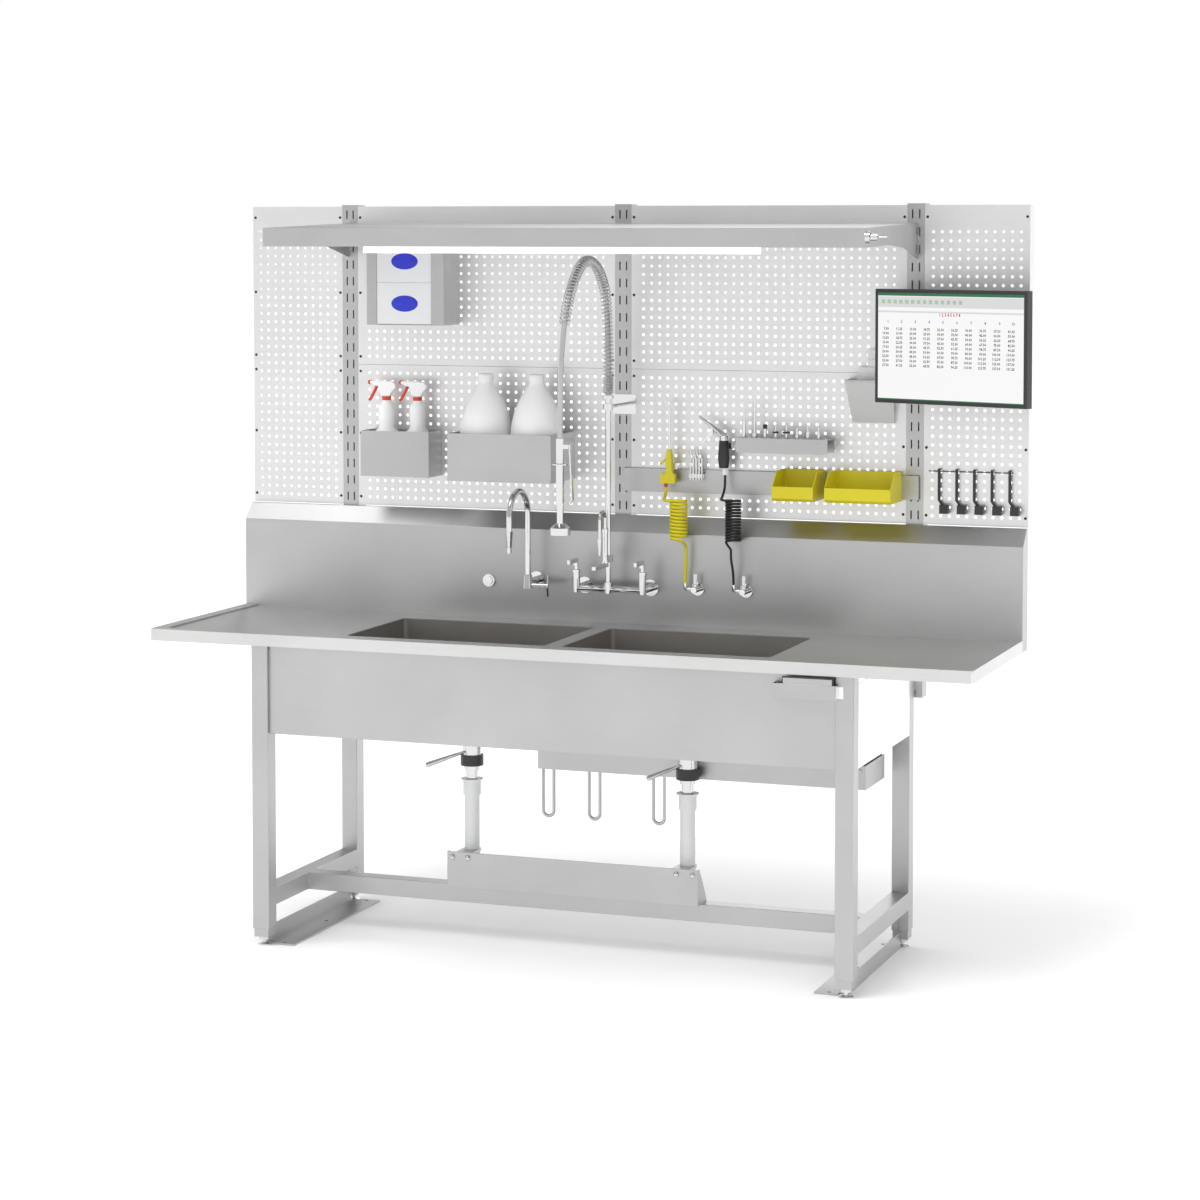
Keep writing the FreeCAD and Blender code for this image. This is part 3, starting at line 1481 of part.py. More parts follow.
def drain_support():
    outline = (
        (-hold.front, rail_top), (-hold.front, hold.top), (hold.sheet - hold.front, hold.top),
        (hold.sheet - hold.front, rail_top + hold.sheet), (-hold.back, rail_top + hold.sheet),
        (-hold.back, rail_top),
    )
    parts = [prism("support_plate", "X", [outline], -hold.half_length, hold.half_length)]
    gusset = (
        (-hold.front, rail_top), (-hold.front, hold.top),
        (hold.gusset_top_depth - hold.front, hold.top), (-hold.gusset_bend_y, hold.gusset_bend_z),
        (-hold.back, rail_top + hold.sheet), (-hold.back, rail_top),
    )
    ring = drain.tube_radius + fit.gap
    outer = ring + hold.clamp_wall
    low = hold.top - hold.clamp_height
    for side, sign in SIDES:
        edges = span(sign, hold.half_length - hold.sheet, hold.half_length)
        parts.append(prism(f"{side}_gusset", "X", [gusset], *edges))
        x = bowl_x * sign
        band = rod(f"{side}_clamp_band", "Z", outer, low, hold.top, x, bowl_y, 12)
        arm = block(f"{side}_clamp_arm", x - outer, x + outer, hold.sheet - hold.front, bowl_y,
                    low, hold.top)
        bore = rod(f"{side}_clamp_bore", "Z", ring, low - fit.overrun, hold.top + fit.overrun,
                   x, bowl_y, 12)
        parts.append(minus(f"{side}_clamp", join(f"{side}_clamp_whole", [band, arm]), [bore]))
    node(join("drain_support", parts))


# Equipment tray hung behind the right bowl, with three rod loops under its front edge
equip = Group("equip", {
    "left": 139.0,
    "right": 840.0,
    "bottom": 505.0,
    "top": 572.0,
    "depth": 205.0,
    "loop_radius": 5.0,
    "loop_bottom": 361.0,
    "loop_width": 33.0,
    "loop_y": 16.0,
    "first_loop": -112.0,
    "second_loop": 30.0,
    "third_loop": 226.0,
    "plug_x": 823.0,
    "plug_z": 557.0,
    "plug_radius": 6.0,
    "plug_length": 3.0,
    "hanger_width": 40.0,
    "left_hanger": -90.0,
    "right_hanger": 710.0,
    "hanger_back": 302.0,
})


def equipment_tray():
    wall = fit.sheet
    body = block("equip_body", -equip.left, equip.right, 0, equip.depth, equip.bottom, equip.top)
    space = block("equip_space", wall - equip.left, equip.right - wall, wall, equip.depth - wall,
                  equip.bottom + wall, equip.top + fit.overrun)
    parts = [minus("equip_shell", body, [space])]
    half = equip.loop_width / 2
    low = equip.loop_bottom + equip.loop_radius
    for name, x in (("first", equip.first_loop), ("second", equip.second_loop),
                    ("third", equip.third_loop)):
        path = [(x - half, equip.loop_y, equip.bottom + wall), (x - half, equip.loop_y, low),
                (x + half, equip.loop_y, low), (x + half, equip.loop_y, equip.bottom + wall)]
        loop = swept(rounded_path(path, [float(half)] * 2), float(equip.loop_radius), 6)
        parts.append(feature(f"{name}_loop", loop))
    parts.append(rod("equip_plug", "Y", equip.plug_radius, -equip.plug_length, 0,
                     equip.plug_x, equip.plug_z, 8))
    shelf = deck_under - frame.angle_sheet
    for name, x in (("left", equip.left_hanger), ("right", equip.right_hanger)):
        outline = ((equip.depth - wall, equip.bottom), (equip.depth, equip.bottom),
                   (equip.depth, shelf - wall), (equip.hanger_back, shelf - wall),
                   (equip.hanger_back, shelf), (equip.depth - wall, shelf))
        parts.append(prism(f"{name}_hanger", "X", [outline], x, x + equip.hanger_width))
    node(join("equipment_tray", parts))


# Fittings on the backsplash: the gooseneck's valve, two hose valves and the push button
tap = Group("tap", {
    "flange_radius": 25.0,
    "flange_height": 8.0,
    "shank_radius": 11.0,
    "plane": 200.0,
    "neck_x": -248.0,
    "neck_z": 1020.0,
    "neck_low": 1003.0,
    "neck_high": 1043.0,
    "neck_radius": 16.0,
    "neck_top_radius": 12.0,
    "spindle_x": -192.0,
    "spindle_z": 1012.0,
    "spindle_radius": 7.0,
    "spout_radius": 9.0,
    "spout_top": 1296.0,
    "spout_reach": 148.0,
    "spout_end": 1185.0,
    "tip_radius": 7.0,
    "tip_end": 1121.0,
    "barb_step": 1.2,
    "wing_reach": 32.0,
    "wing_width": 9.0,
    "wing_thick": 5.0,
    "hub_length": 9.0,
    "button_x": -404.0,
    "button_z": 1011.0,
    "button_radius": 19.0,
    "button_height": 7.0,
    "button_inner": 13.0,
    "button_rise": 3.0,
    "yellow_valve_x": 257.0,
    "black_valve_x": 405.0,
    "hose_valve_z": 1013.0,
    "hose_valve_radius": 9.0,
    "hose_valve_reach": 46.0,
    "hose_flange_radius": 20.0,
    "lever_height": 30.0,
    "lever_width": 10.0,
    "lever_thick": 3.0,
    "bonnet_height": 6.0,
})


def splash_fittings():
    face = bench.splash_face
    parts = []
    flange = ((0, 0), (tap.shank_radius, 0), (tap.shank_radius, face - tap.flange_height - tap.plane),
              (tap.flange_radius, face - tap.flange_height - tap.plane),
              (tap.flange_radius, face - tap.plane), (0, face - tap.plane))
    shank = turned("neck_shank", "Y", flange, tap.plane, tap.neck_x, tap.neck_z, 16)
    profile = ((0, tap.neck_low), (tap.neck_radius, tap.neck_low),
               (tap.neck_top_radius, tap.neck_high), (0, tap.neck_high))
    body = turned("neck_body", "Z", profile, 0, tap.neck_x, tap.plane, 12)
    spindle = rod("neck_spindle", "X", tap.spindle_radius, tap.neck_x, tap.spindle_x,
                  tap.plane, tap.spindle_z, 8)
    parts.append(join("neck_valve", [shank, body, spindle]))
    button = ((0, 0), (tap.button_radius, 0), (tap.button_radius, tap.button_height),
              (tap.button_inner, tap.button_height),
              (tap.button_inner, tap.button_height + tap.button_rise),
              (0, tap.button_height + tap.button_rise))
    profile = [(across, -up) for across, up in button]
    parts.append(turned("push_button", "Y", profile, face, tap.button_x, tap.button_z, 16))
    for name, x in (("yellow", tap.yellow_valve_x), ("black", tap.black_valve_x)):
        reach = tap.hose_valve_reach
        flange = ((0, 0), (tap.hose_valve_radius, 0), (tap.hose_valve_radius, reach - tap.flange_height),
                  (tap.hose_flange_radius, reach - tap.flange_height),
                  (tap.hose_flange_radius, reach), (0, reach))
        stem = turned(f"{name}_valve_stem", "Y", flange, face - reach, x, tap.hose_valve_z, 12)
        inlet_x = x - hose.inlet_length
        inlet = rod(f"{name}_valve_inlet", "X", hose.inlet_radius, inlet_x, x, hose.plane,
                    tap.hose_valve_z, 8)
        bonnet = rod(f"{name}_valve_bonnet", "Z", tap.hose_valve_radius - fit.sheet, tap.hose_valve_z,
                     tap.hose_valve_z + tap.hose_valve_radius + tap.bonnet_height, x, hose.plane, 8)
        parts.append(join(f"{name}_hose_valve", [stem, inlet, bonnet]))
        elbow_x = inlet_x - hose.elbow_reach
        elbow = ((inlet_x, hose.plane, tap.hose_valve_z), (elbow_x, hose.plane, tap.hose_valve_z),
                 (elbow_x, hose.plane, tap.hose_valve_z + hose.elbow_rise))
        parts.append(bent(f"{name}_elbow", elbow, hose.elbow_radius, hose.elbow_bend, 8))
    node(group("splash_fittings", parts))
    for name, x in (("yellow", tap.yellow_valve_x), ("black", tap.black_valve_x)):
        low = tap.hose_valve_z + tap.hose_valve_radius + tap.bonnet_height + fit.gap
        node(block(f"{name}_valve_lever", x - tap.lever_width / 2, x + tap.lever_width / 2,
                   hose.plane - tap.lever_thick / 2, hose.plane + tap.lever_thick / 2,
                   low, low + tap.lever_height))


def gooseneck():
    x, low = tap.neck_x, tap.neck_high + fit.gap
    front = tap.plane - tap.spout_reach
    path = [(x, tap.plane, low), (x, tap.plane, tap.spout_top), (x, front, tap.spout_top),
            (x, front, tap.spout_end)]
    pipe = bent("spout_pipe", path, tap.spout_radius, tap.spout_reach * 0.49, 10)
    height = tap.spout_end - tap.tip_end
    profile = [(0, 0), (tap.tip_radius, 0)]
    for number in range(4):
        share = (number + 1) / 4
        profile += [(tap.tip_radius + tap.barb_step * (number + 1), height * share),
                    (tap.tip_radius + tap.barb_step * number, height * share)]
    profile = profile[:-1] + [(0, height)]
    tip = turned("spout_tip", "Z", profile, tap.tip_end, x, front, 10)
    node(join("gooseneck_spout", [pipe, tip]))
    hub_x = tap.spindle_x + fit.gap
    hub = rod("wing_hub", "X", tap.spindle_radius, hub_x, hub_x + tap.hub_length, tap.plane,
              tap.spindle_z, 8)
    reach, wide = tap.wing_reach, tap.wing_width / 2
    outline = [(tap.plane, tap.spindle_z - reach), (tap.plane + wide, tap.spindle_z),
               (tap.plane, tap.spindle_z + reach), (tap.plane - wide, tap.spindle_z)]
    wing = prism("wing_blade", "X", [outline], hub_x + tap.hub_length - tap.wing_thick,
                 hub_x + tap.hub_length)
    node(join("gooseneck_handle", [hub, wing]))


# Wall mixer with a riser, a swivel tap on it and a sprung rinse hose above it
mixer = Group("mixer", {
    "left_flange_x": -95.0,
    "right_flange_x": 111.0,
    "flange_z": 1010.0,
    "bar_radius": 10.0,
    "valve_radius": 11.0,
    "valve_low": 998.0,
    "valve_high": 1064.0,
    "valve_cap": 13.0,
    "valve_cap_height": 8.0,
    "centre_x": 5.0,
    "body_radius": 13.0,
    "body_high": 1030.0,
    "riser_radius": 8.0,
    "riser_top": 1580.0,
    "seat_radius": 16.5,
    "seat_height": 10.0,
    "handle_radius": 6.0,
    "handle_neck": 12.0,
    "handle_top": 1098.0,
    "handle_reach": 62.0,
    "handle_thick": 12.0,
    "clamp_z": 1546.0,
    "clamp_half": 9.0,
    "clamp_radius": 15.0,
    "bracket_radius": 5.0,
    "bracket_half_width": 37.0,
    "bracket_half_height": 29.0,
    "bracket_sheet": 3.0,
    "addon_low": 1091.0,
    "addon_high": 1110.0,
    "addon_radius": 15.0,
    "addon_forward": 26.0,
    "addon_stem_radius": 8.0,
    "addon_nut_radius": 10.0,
    "addon_nut_low": 1180.0,
    "addon_nut_high": 1190.0,
    "addon_pipe_radius": 5.0,
    "addon_top": 1242.0,
    "addon_reach": 46.0,
    "addon_nozzle_top": 1165.0,
    "addon_nozzle_radius": 8.0,
    "addon_nozzle_bottom": 1116.0,
    "addon_hub_height": 12.0,
    "addon_lever_reach": 95.0,
    "addon_lever_width": 15.0,
})
hub_y = tap.plane - mixer.addon_forward


def mixer_body():
    face, x, y = bench.splash_face, mixer.centre_x, tap.plane
    reach = face - y
    flange = ((0, 0), (tap.shank_radius, 0), (tap.shank_radius, reach - tap.flange_height),
              (tap.flange_radius, reach - tap.flange_height), (tap.flange_radius, reach), (0, reach))
    parts = []
    for name, at in (("left", mixer.left_flange_x), ("right", mixer.right_flange_x)):
        parts.append(turned(f"{name}_shank", "Y", flange, y, at, mixer.flange_z, 12))
        cap_low = mixer.valve_high - mixer.valve_cap_height
        profile = ((0, mixer.valve_low), (mixer.valve_radius, mixer.valve_low),
                   (mixer.valve_radius, cap_low), (mixer.valve_cap, cap_low),
                   (mixer.valve_cap, mixer.valve_high), (0, mixer.valve_high))
        parts.append(turned(f"{name}_valve", "Z", profile, 0, at, y, 12))
    parts.append(rod("mixer_bar", "X", mixer.bar_radius, mixer.left_flange_x, mixer.right_flange_x,
                     y, mixer.flange_z, 12))
    seat_low = mixer.riser_top - mixer.seat_height
    profile = (
        (0, mixer.valve_low), (mixer.body_radius, mixer.valve_low), (mixer.body_radius, mixer.body_high),
        (mixer.riser_radius, mixer.body_high), (mixer.riser_radius, seat_low),
        (mixer.seat_radius, seat_low), (mixer.seat_radius, mixer.riser_top), (0, mixer.riser_top),
    )
    parts.append(turned("riser", "Z", profile, 0, x, y, 12))
    parts.append(rod("riser_clamp", "Z", mixer.clamp_radius, mixer.clamp_z - mixer.clamp_half,
                     mixer.clamp_z + mixer.clamp_half, x, y, 12))
    parts.append(rod("bracket_arm", "Y", mixer.bracket_radius, y, bench.back, x, mixer.clamp_z, 8))
    parts.append(block("bracket_plate", x - mixer.bracket_half_width, x + mixer.bracket_half_width,
                       bench.back - mixer.bracket_sheet, bench.back,
                       mixer.clamp_z - mixer.bracket_half_height,
                       mixer.clamp_z + mixer.bracket_half_height))
    parts.append(rod("addon_ring", "Z", mixer.addon_radius, mixer.addon_low, mixer.addon_high, x, y, 12))
    parts.append(block("addon_arm", x - mixer.addon_nut_radius, x + mixer.addon_nut_radius, hub_y, y,
                       mixer.addon_low, mixer.addon_high))
    parts.append(rod("addon_seat", "Z", mixer.addon_nut_radius, mixer.addon_low, mixer.addon_high,
                     x, hub_y, 12))
    node(join("mixer_body", parts))


def mixer_handles():
    low = mixer.valve_high + fit.gap
    for name, x in (("hot_handle", mixer.left_flange_x), ("cold_handle", mixer.right_flange_x)):
        stem = rod(name + "_stem", "Z", mixer.handle_radius, low, mixer.handle_top, x, tap.plane, 12)
        blade_low = low + mixer.handle_neck
        half = mixer.handle_radius
        blade = block(name + "_blade", x - half, x + half, tap.plane - mixer.handle_reach, tap.plane,
                      blade_low, mixer.handle_top)
        end_rod = rod(name + "_end", "Z", half, blade_low, mixer.handle_top, x,
                      tap.plane - mixer.handle_reach, 12)
        thin = block(name + "_cut", x - half - fit.overrun, x + half + fit.overrun,
                     tap.plane - mixer.handle_reach - half - fit.overrun,
                     tap.plane - half - fit.sheet, blade_low - fit.overrun,
                     mixer.handle_top - mixer.handle_thick)
        node(minus(name, join(name + "_whole", [stem, blade, end_rod]), [thin]))


def addon_tap():
    x = mixer.centre_x
    low = mixer.addon_high + fit.gap
    front = hub_y - mixer.addon_reach
    profile = ((0, low), (mixer.addon_stem_radius, low), (mixer.addon_stem_radius, mixer.addon_nut_low),
               (mixer.addon_nut_radius, mixer.addon_nut_low),
               (mixer.addon_nut_radius, mixer.addon_nut_high), (0, mixer.addon_nut_high))
    stem = turned("addon_stem", "Z", profile, 0, x, hub_y, 8)
    path = [(x, hub_y, mixer.addon_nut_high - fit.sheet), (x, hub_y, mixer.addon_top),
            (x, front, mixer.addon_top), (x, front, mixer.addon_nozzle_top - fit.sheet)]
    pipe = bent("addon_pipe", path, mixer.addon_pipe_radius, mixer.addon_reach * 0.49, 8)
    profile = ((0, mixer.addon_nozzle_bottom), (mixer.addon_pipe_radius, mixer.addon_nozzle_bottom),
               (mixer.addon_nozzle_radius, mixer.addon_nozzle_top), (0, mixer.addon_nozzle_top))
    nozzle = turned("addon_nozzle", "Z", profile, 0, x, front, 8)
    node(join("addon_spout", [stem, pipe, nozzle]))
    high = mixer.addon_low - fit.gap
    hub = rod("addon_hub", "Z", mixer.addon_nut_radius, high - mixer.addon_hub_height, high, x,
              hub_y, 12)
    wide = mixer.addon_lever_width / 2
    lever = block("addon_lever", x - wide, x + wide, hub_y - mixer.addon_lever_reach, hub_y,
                  high - mixer.addon_hub_height, high - fit.sheet)
    end_rod = rod("addon_lever_end", "Z", wide, high - mixer.addon_hub_height, high - fit.sheet,
                  x, hub_y - mixer.addon_lever_reach, 12)
    node(join("addon_handle", [hub, lever, end_rod]))


# Biarcs: two tangent arcs between a start and an end, each with its own direction
def biarc(start, way0, end, way1):
    chord = end - start
    ways = way0 + way1
    slack = 2 * (1 - way0.dot(way1))
    if slack < 1e-9:
        return [Part.LineSegment(start, end).toShape()]
    lean = chord.dot(ways)
    reach = (-lean + math.sqrt(lean * lean + slack * chord.dot(chord))) / slack
    corner0 = start + way0 * reach
    corner1 = end - way1 * reach
    joint = (corner0 + corner1) * 0.5
    return [arc_between(start, corner0, joint), arc_between(joint, corner1, end)]


def arc_between(start, corner, end):
    chord = end - start
    middle = (start + end) * 0.5
    toward = corner - middle
    if toward.Length < 1e-7:
        return Part.LineSegment(start, end).toShape()
    angle = (corner - start).getAngle(chord)
    radius = chord.Length / (2 * math.sin(angle))
    crown = middle + toward.normalize() * (radius * (1 - math.cos(angle)))
    return Part.Arc(start, crown, end).toShape()


# Places along a path by length, with the direction there
def places(path):
    edges = path.OrderedEdges
    lengths = [edge.Length for edge in edges]
    corners = [vertex.Point for vertex in path.OrderedVertexes]

    def at(length):
        number = 0
        while length > lengths[number] and number < len(edges) - 1:
            length -= lengths[number]
            number += 1
        edge, size, corner = edges[number], lengths[number], corners[number]
        length = min(max(length, 0), size)
        flipped = (edge.valueAt(edge.FirstParameter) - corner).Length > 1e-6
        mark = edge.getParameterByLength(size - length if flipped else length)
        way = edge.tangentAt(mark)
        return edge.valueAt(mark), way * -1 if flipped else way

    return at


# One unbroken tube wound on an axis path. The marks are lengths along the axis, one per
# quarter turn, and the ends run straight for one tube diameter.
def wound(name, path, marks, radius, tube_radius, first_angle, hand, end_ways, sides):
    at = places(path)
    side = FreeCAD.Vector(1, 0, 0)

    def spot(length, number):
        centre, way = at(length)
        other = way.cross(side).normalize()
        angle = first_angle + hand * number * math.pi / 2
        return centre + side * (radius * math.cos(angle)) + other * (radius * math.sin(angle))

    knots = []
    for number, mark in enumerate(marks):
        near = marks[max(number - 1, 0):number] + marks[number + 1:number + 2]
        small = min(abs(other - mark) for other in near) / 100
        way = (spot(mark + small, number + 0.01) - spot(mark - small, number - 0.01)).normalize()
        knots.append((spot(mark, number), way))
    first_way = vector(end_ways[0]) if end_ways[0] else knots[0][1]
    last_way = vector(end_ways[1]) if end_ways[1] else knots[-1][1]
    knots[0] = (knots[0][0], first_way)
    knots[-1] = (knots[-1][0], last_way)
    lead = 2 * tube_radius
    edges = [Part.LineSegment(knots[0][0] - first_way * lead, knots[0][0]).toShape()]
    for (start, way0), (end, way1) in zip(knots, knots[1:]):
        edges += biarc(start, way0, end, way1)
    edges.append(Part.LineSegment(knots[-1][0], knots[-1][0] + last_way * lead).toShape())
    wire = Part.Wire(edges)
    report_gap(name, edges, tube_radius)
    return feature(name, swept(wire, tube_radius, sides)), edges


# The least distance between stretches of one tube that are half a turn or more apart
def report_gap(name, edges, tube_radius):
    points = []
    for edge in edges:
        step = (edge.LastParameter - edge.FirstParameter) / 3
        points += [edge.valueAt(edge.FirstParameter + step * part) for part in range(3)]
    skip = 15
    least = min((points[a] - points[b]).Length for a in range(len(points))
                for b in range(a + skip, min(a + 5 * skip, len(points))))
    print(name, "least gap to itself", round(least - 2 * tube_radius, 2), "mm")


# A free stretch: each arc is as large as its two runs allow
def stretch(name, points, tube_radius, sides):
    spots = [vector(point) for point in points]
    radii = []
    for before, spot, after in zip(spots, spots[1:], spots[2:]):
        half = (spot - before).getAngle(after - spot) / 2
        short = min((spot - before).Length, (after - spot).Length)
        radii.append(0.45 * short / math.tan(half))
    path = rounded_path(spots, radii)
    shape = swept(path, tube_radius, sides)
    area = math.pi * tube_radius ** 2
    if sides:
        area = sides / 2 * tube_radius ** 2 * math.sin(2 * math.pi / sides)
    print(name, "least radius", round(min(radii), 1), "length", round(path.Length, 1),
          "volume share", round(shape.Volume / (area * path.Length), 4))
    return feature(name, shape), path


# Sprung rinse hose: the hose's route, the spring round it and the spray valve it carries
rinse = Group("rinse", {
    "hose_radius": 8.0,
    "wire_radius": 1.7,
    "coil_radius": 14.8,
    "tight_pitch": 4.6,
    "tight_turns": 11,
    "open_turns": 22,
    "spring_share": 0.66,
    "valve_top": 1479.0,
    "valve_y": -195.0,
    "grip_radius": 12.0,
    "grip_bottom": 1290.0,
    "neck_radius": 9.5,
    "neck_bottom": 1240.0,
    "bell_radius": 29.0,
    "bell_top_radius": 14.0,
    "bell_slope": 1228.0,
    "bell_bottom": 1208.0,
    "ring_z": 1405.0,
    "ring_radius": 24.0,
    "ring_width": 4.0,
    "ring_thick": 3.0,
    "lever_top": 1450.0,
    "lever_bottom": 1296.0,
    "lever_gap": 15.0,
    "lever_width": 10.0,
    "lever_thick": 4.0,
    "ear_length": 12.0,
})
# Points of the rinse hose in the plane of the riser: distance to the back and height
RINSE_ROUTE = ((200, 1580), (203, 1835), (130, 1950), (5, 1985), (-100, 1915), (-165, 1800),
               (-195, 1655), (-195, 1479))


def rinse_hose():
    x = float(mixer.centre_x)
    points = [(x, y, z) for y, z in RINSE_ROUTE]
    item, path = stretch("prerinse_hose", points, float(rinse.hose_radius), 6)
    node(item)
    wire, radius = float(rinse.wire_radius), float(rinse.coil_radius)
    start = 2 * wire + float(fit.gap)
    tight = [start + radius + float(rinse.tight_pitch) * number / 4
             for number in range(4 * int(float(rinse.tight_turns)))]
    last = path.Length * float(rinse.spring_share)
    count = 4 * int(float(rinse.open_turns))
    spread = [tight[-1] + (last - radius - tight[-1]) * (number + 1) / count for number in range(count)]
    way = places(path)(last)[1]
    coil, edges = wound("prerinse_spring", path, [start] + tight + spread + [last], radius, wire,
                        0, 1, ((0, 0, 1), way), 3)
    node(coil)


def spray_valve():
    x, y = mixer.centre_x, rinse.valve_y
    profile = (
        (0, rinse.bell_bottom), (rinse.bell_radius, rinse.bell_bottom),
        (rinse.bell_radius, rinse.bell_slope), (rinse.bell_top_radius, rinse.neck_bottom),
        (rinse.neck_radius, rinse.neck_bottom), (rinse.neck_radius, rinse.grip_bottom),
        (rinse.grip_radius, rinse.grip_bottom), (rinse.grip_radius, rinse.valve_top),
        (0, rinse.valve_top),
    )
    body = turned("valve_body", "Z", profile, 0, x, y, 16)
    ring = rod("valve_ring", "Z", rinse.ring_radius, rinse.ring_z, rinse.ring_z + rinse.ring_thick,
               x, y, 16)
    bore = rod("valve_ring_bore", "Z", rinse.ring_radius - rinse.ring_width, rinse.ring_z - fit.overrun,
               rinse.ring_z + rinse.ring_thick + fit.overrun, x, y, 16)
    spoke = block("valve_spoke", x - rinse.ring_radius + rinse.ring_width / 2,
                  x + rinse.ring_radius - rinse.ring_width / 2, y - rinse.ring_width / 2,
                  y + rinse.ring_width / 2, rinse.ring_z, rinse.ring_z + rinse.ring_thick)
    ear = block("valve_ear", x, x + rinse.grip_radius + rinse.lever_gap - fit.gap,
                y - rinse.lever_width / 2, y + rinse.lever_width / 2,
                rinse.lever_top, rinse.lever_top + rinse.ear_length)
    node(join("spray_valve", [body, minus("valve_hoop", ring, [bore]), spoke, ear]))
    face = x + rinse.grip_radius + rinse.lever_gap
    thick = rinse.lever_thick
    outline = (
        (face, rinse.lever_top + rinse.ear_length), (face + thick, rinse.lever_top + rinse.ear_length),
        (face + thick * 3, rinse.lever_bottom + rinse.ear_length), (face + thick, rinse.lever_bottom),
        (face, rinse.lever_bottom), (face + thick * 2, rinse.lever_bottom + rinse.ear_length),
    )
    node(prism("spray_lever", "Y", [outline], y - rinse.lever_width / 2, y + rinse.lever_width / 2))


# Coiled hoses: each runs from its gun to a coil in front of the backsplash and on to its valve
hose = Group("hose", {
    "plane": 250.0,
    "inlet_length": 18.0,
    "inlet_radius": 7.0,
    "elbow_reach": 13.0,
    "elbow_rise": 19.0,
    "elbow_radius": 6.0,
    "elbow_bend": 9.0,
    "yellow_radius": 4.6,
    "yellow_coil_radius": 22.5,
    "yellow_quarters": 45,
    "black_radius": 3.6,
    "black_coil_radius": 20.5,
    "black_quarters": 56,
})
# Routes: from the gun to the coil's first turn, and from its last turn to the valve's elbow
YELLOW_UPPER = ((149, 300, 1307), (149, 300, 1296), (150.5, 292, 1285), (156, 266, 1276.5),
                (162.9, 241.1, 1275), (171.3, 229.9, 1274.5), (183.8, 223.5, 1274.5),
                (197.8, 223.5, 1274.5))
YELLOW_LOWER = ((229.5, 246, 1131), (229.5, 246, 1100), (226, 250, 1060), (226, 250, 1032))
BLACK_UPPER = ((332, 300, 1348), (332, 300, 1328), (332.3, 294, 1304), (334.6, 262, 1284),
               (338.6, 239.5, 1281), (345.4, 230.5, 1280), (355.5, 225.5, 1280), (366.8, 225.5, 1280))
BLACK_LOWER = ((374, 225.5, 1131), (374, 225.5, 1108), (376.5, 233, 1082), (374.5, 246, 1062),
               (374, 250, 1046), (374, 250, 1032))


# The coil starts at its front, heading right, and its last quarter turn bends down
def coiled_hose(colour, upper, lower, radius, coil_radius, quarters, sides):
    parts = []
    for name, points in (("upper", upper), ("lower", lower)):
        item, path = stretch(f"{colour}_{name}_hose", points, float(radius), 6)
        parts.append(item)
    node(group(f"{colour}_hose", parts))
    lead = 2 * float(radius)
    start = vector(upper[-1]) + FreeCAD.Vector(lead, float(coil_radius), 0)
    end = FreeCAD.Vector(start.x, start.y, lower[0][2] + lead)
    axis = Part.Wire([Part.LineSegment(start, end).toShape()])
    count = int(float(quarters))
    spread = axis.Length - float(coil_radius)
    marks = [spread * number / (count - 1) for number in range(count)] + [axis.Length]
    coil, edges = wound(f"{colour}_coil", axis, marks, float(coil_radius), float(radius),
                        math.pi / 2, -1, ((1, 0, 0), (0, 0, -1)), sides)
    node(coil)


def coiled_hoses():
    coiled_hose("yellow", YELLOW_UPPER, YELLOW_LOWER, hose.yellow_radius, hose.yellow_coil_radius,
                hose.yellow_quarters, 3)
    coiled_hose("black", BLACK_UPPER, BLACK_LOWER, hose.black_radius, hose.black_coil_radius,
                hose.black_quarters, 3)


floor_base()
levelling_feet()
leg_frame()
worktop()
bowls()
backsplash()
body_panels()
lift_handset()
uprights()
wall_panels()
canopy()
lamp()
light_switch()
glove_holder()
wall_trays()
spray_bottle("left", -spray.left_x)
spray_bottle("right", -spray.right_x)
jugs()
bin_rail()
hanging_bin("small_bin", bins.small_left, bins.small_right)
hanging_bin("large_bin", bins.large_left, bins.large_right)
document_pocket()
monitor_parts()
tool_hooks()
tool_racks()
yellow_gun()
black_gun()
drains()
drain_support()
equipment_tray()
splash_fittings()
gooseneck()
mixer_body()
mixer_handles()
addon_tap()
rinse_hose()
spray_valve()
coiled_hoses()

# Every object and every shape is checked before anything is written
doc.recompute()
for item in doc.Objects:
    if "Invalid" in item.State or "Error" in item.State:
        raise ValueError(f"{item.Name} did not build: {item.State}")
labels = [item.Label for item in nodes]
if len(set(labels)) != len(labels):
    raise ValueError("two pieces share a name")
os.makedirs("parts", exist_ok=True)
for item in nodes:
    if item.Shape.isNull() or not item.Shape.isValid():
        raise ValueError(f"{item.Label} has no valid shape")
for item in nodes:
    item.Shape.exportStep(f"parts/{item.Label}.step")
print(len(nodes), "pieces written")
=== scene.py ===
# Processing sink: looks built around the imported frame. Metres; +X right, +Y back, +Z up.
import bpy
import bmesh
import json
import math
from mathutils import Matrix, Vector


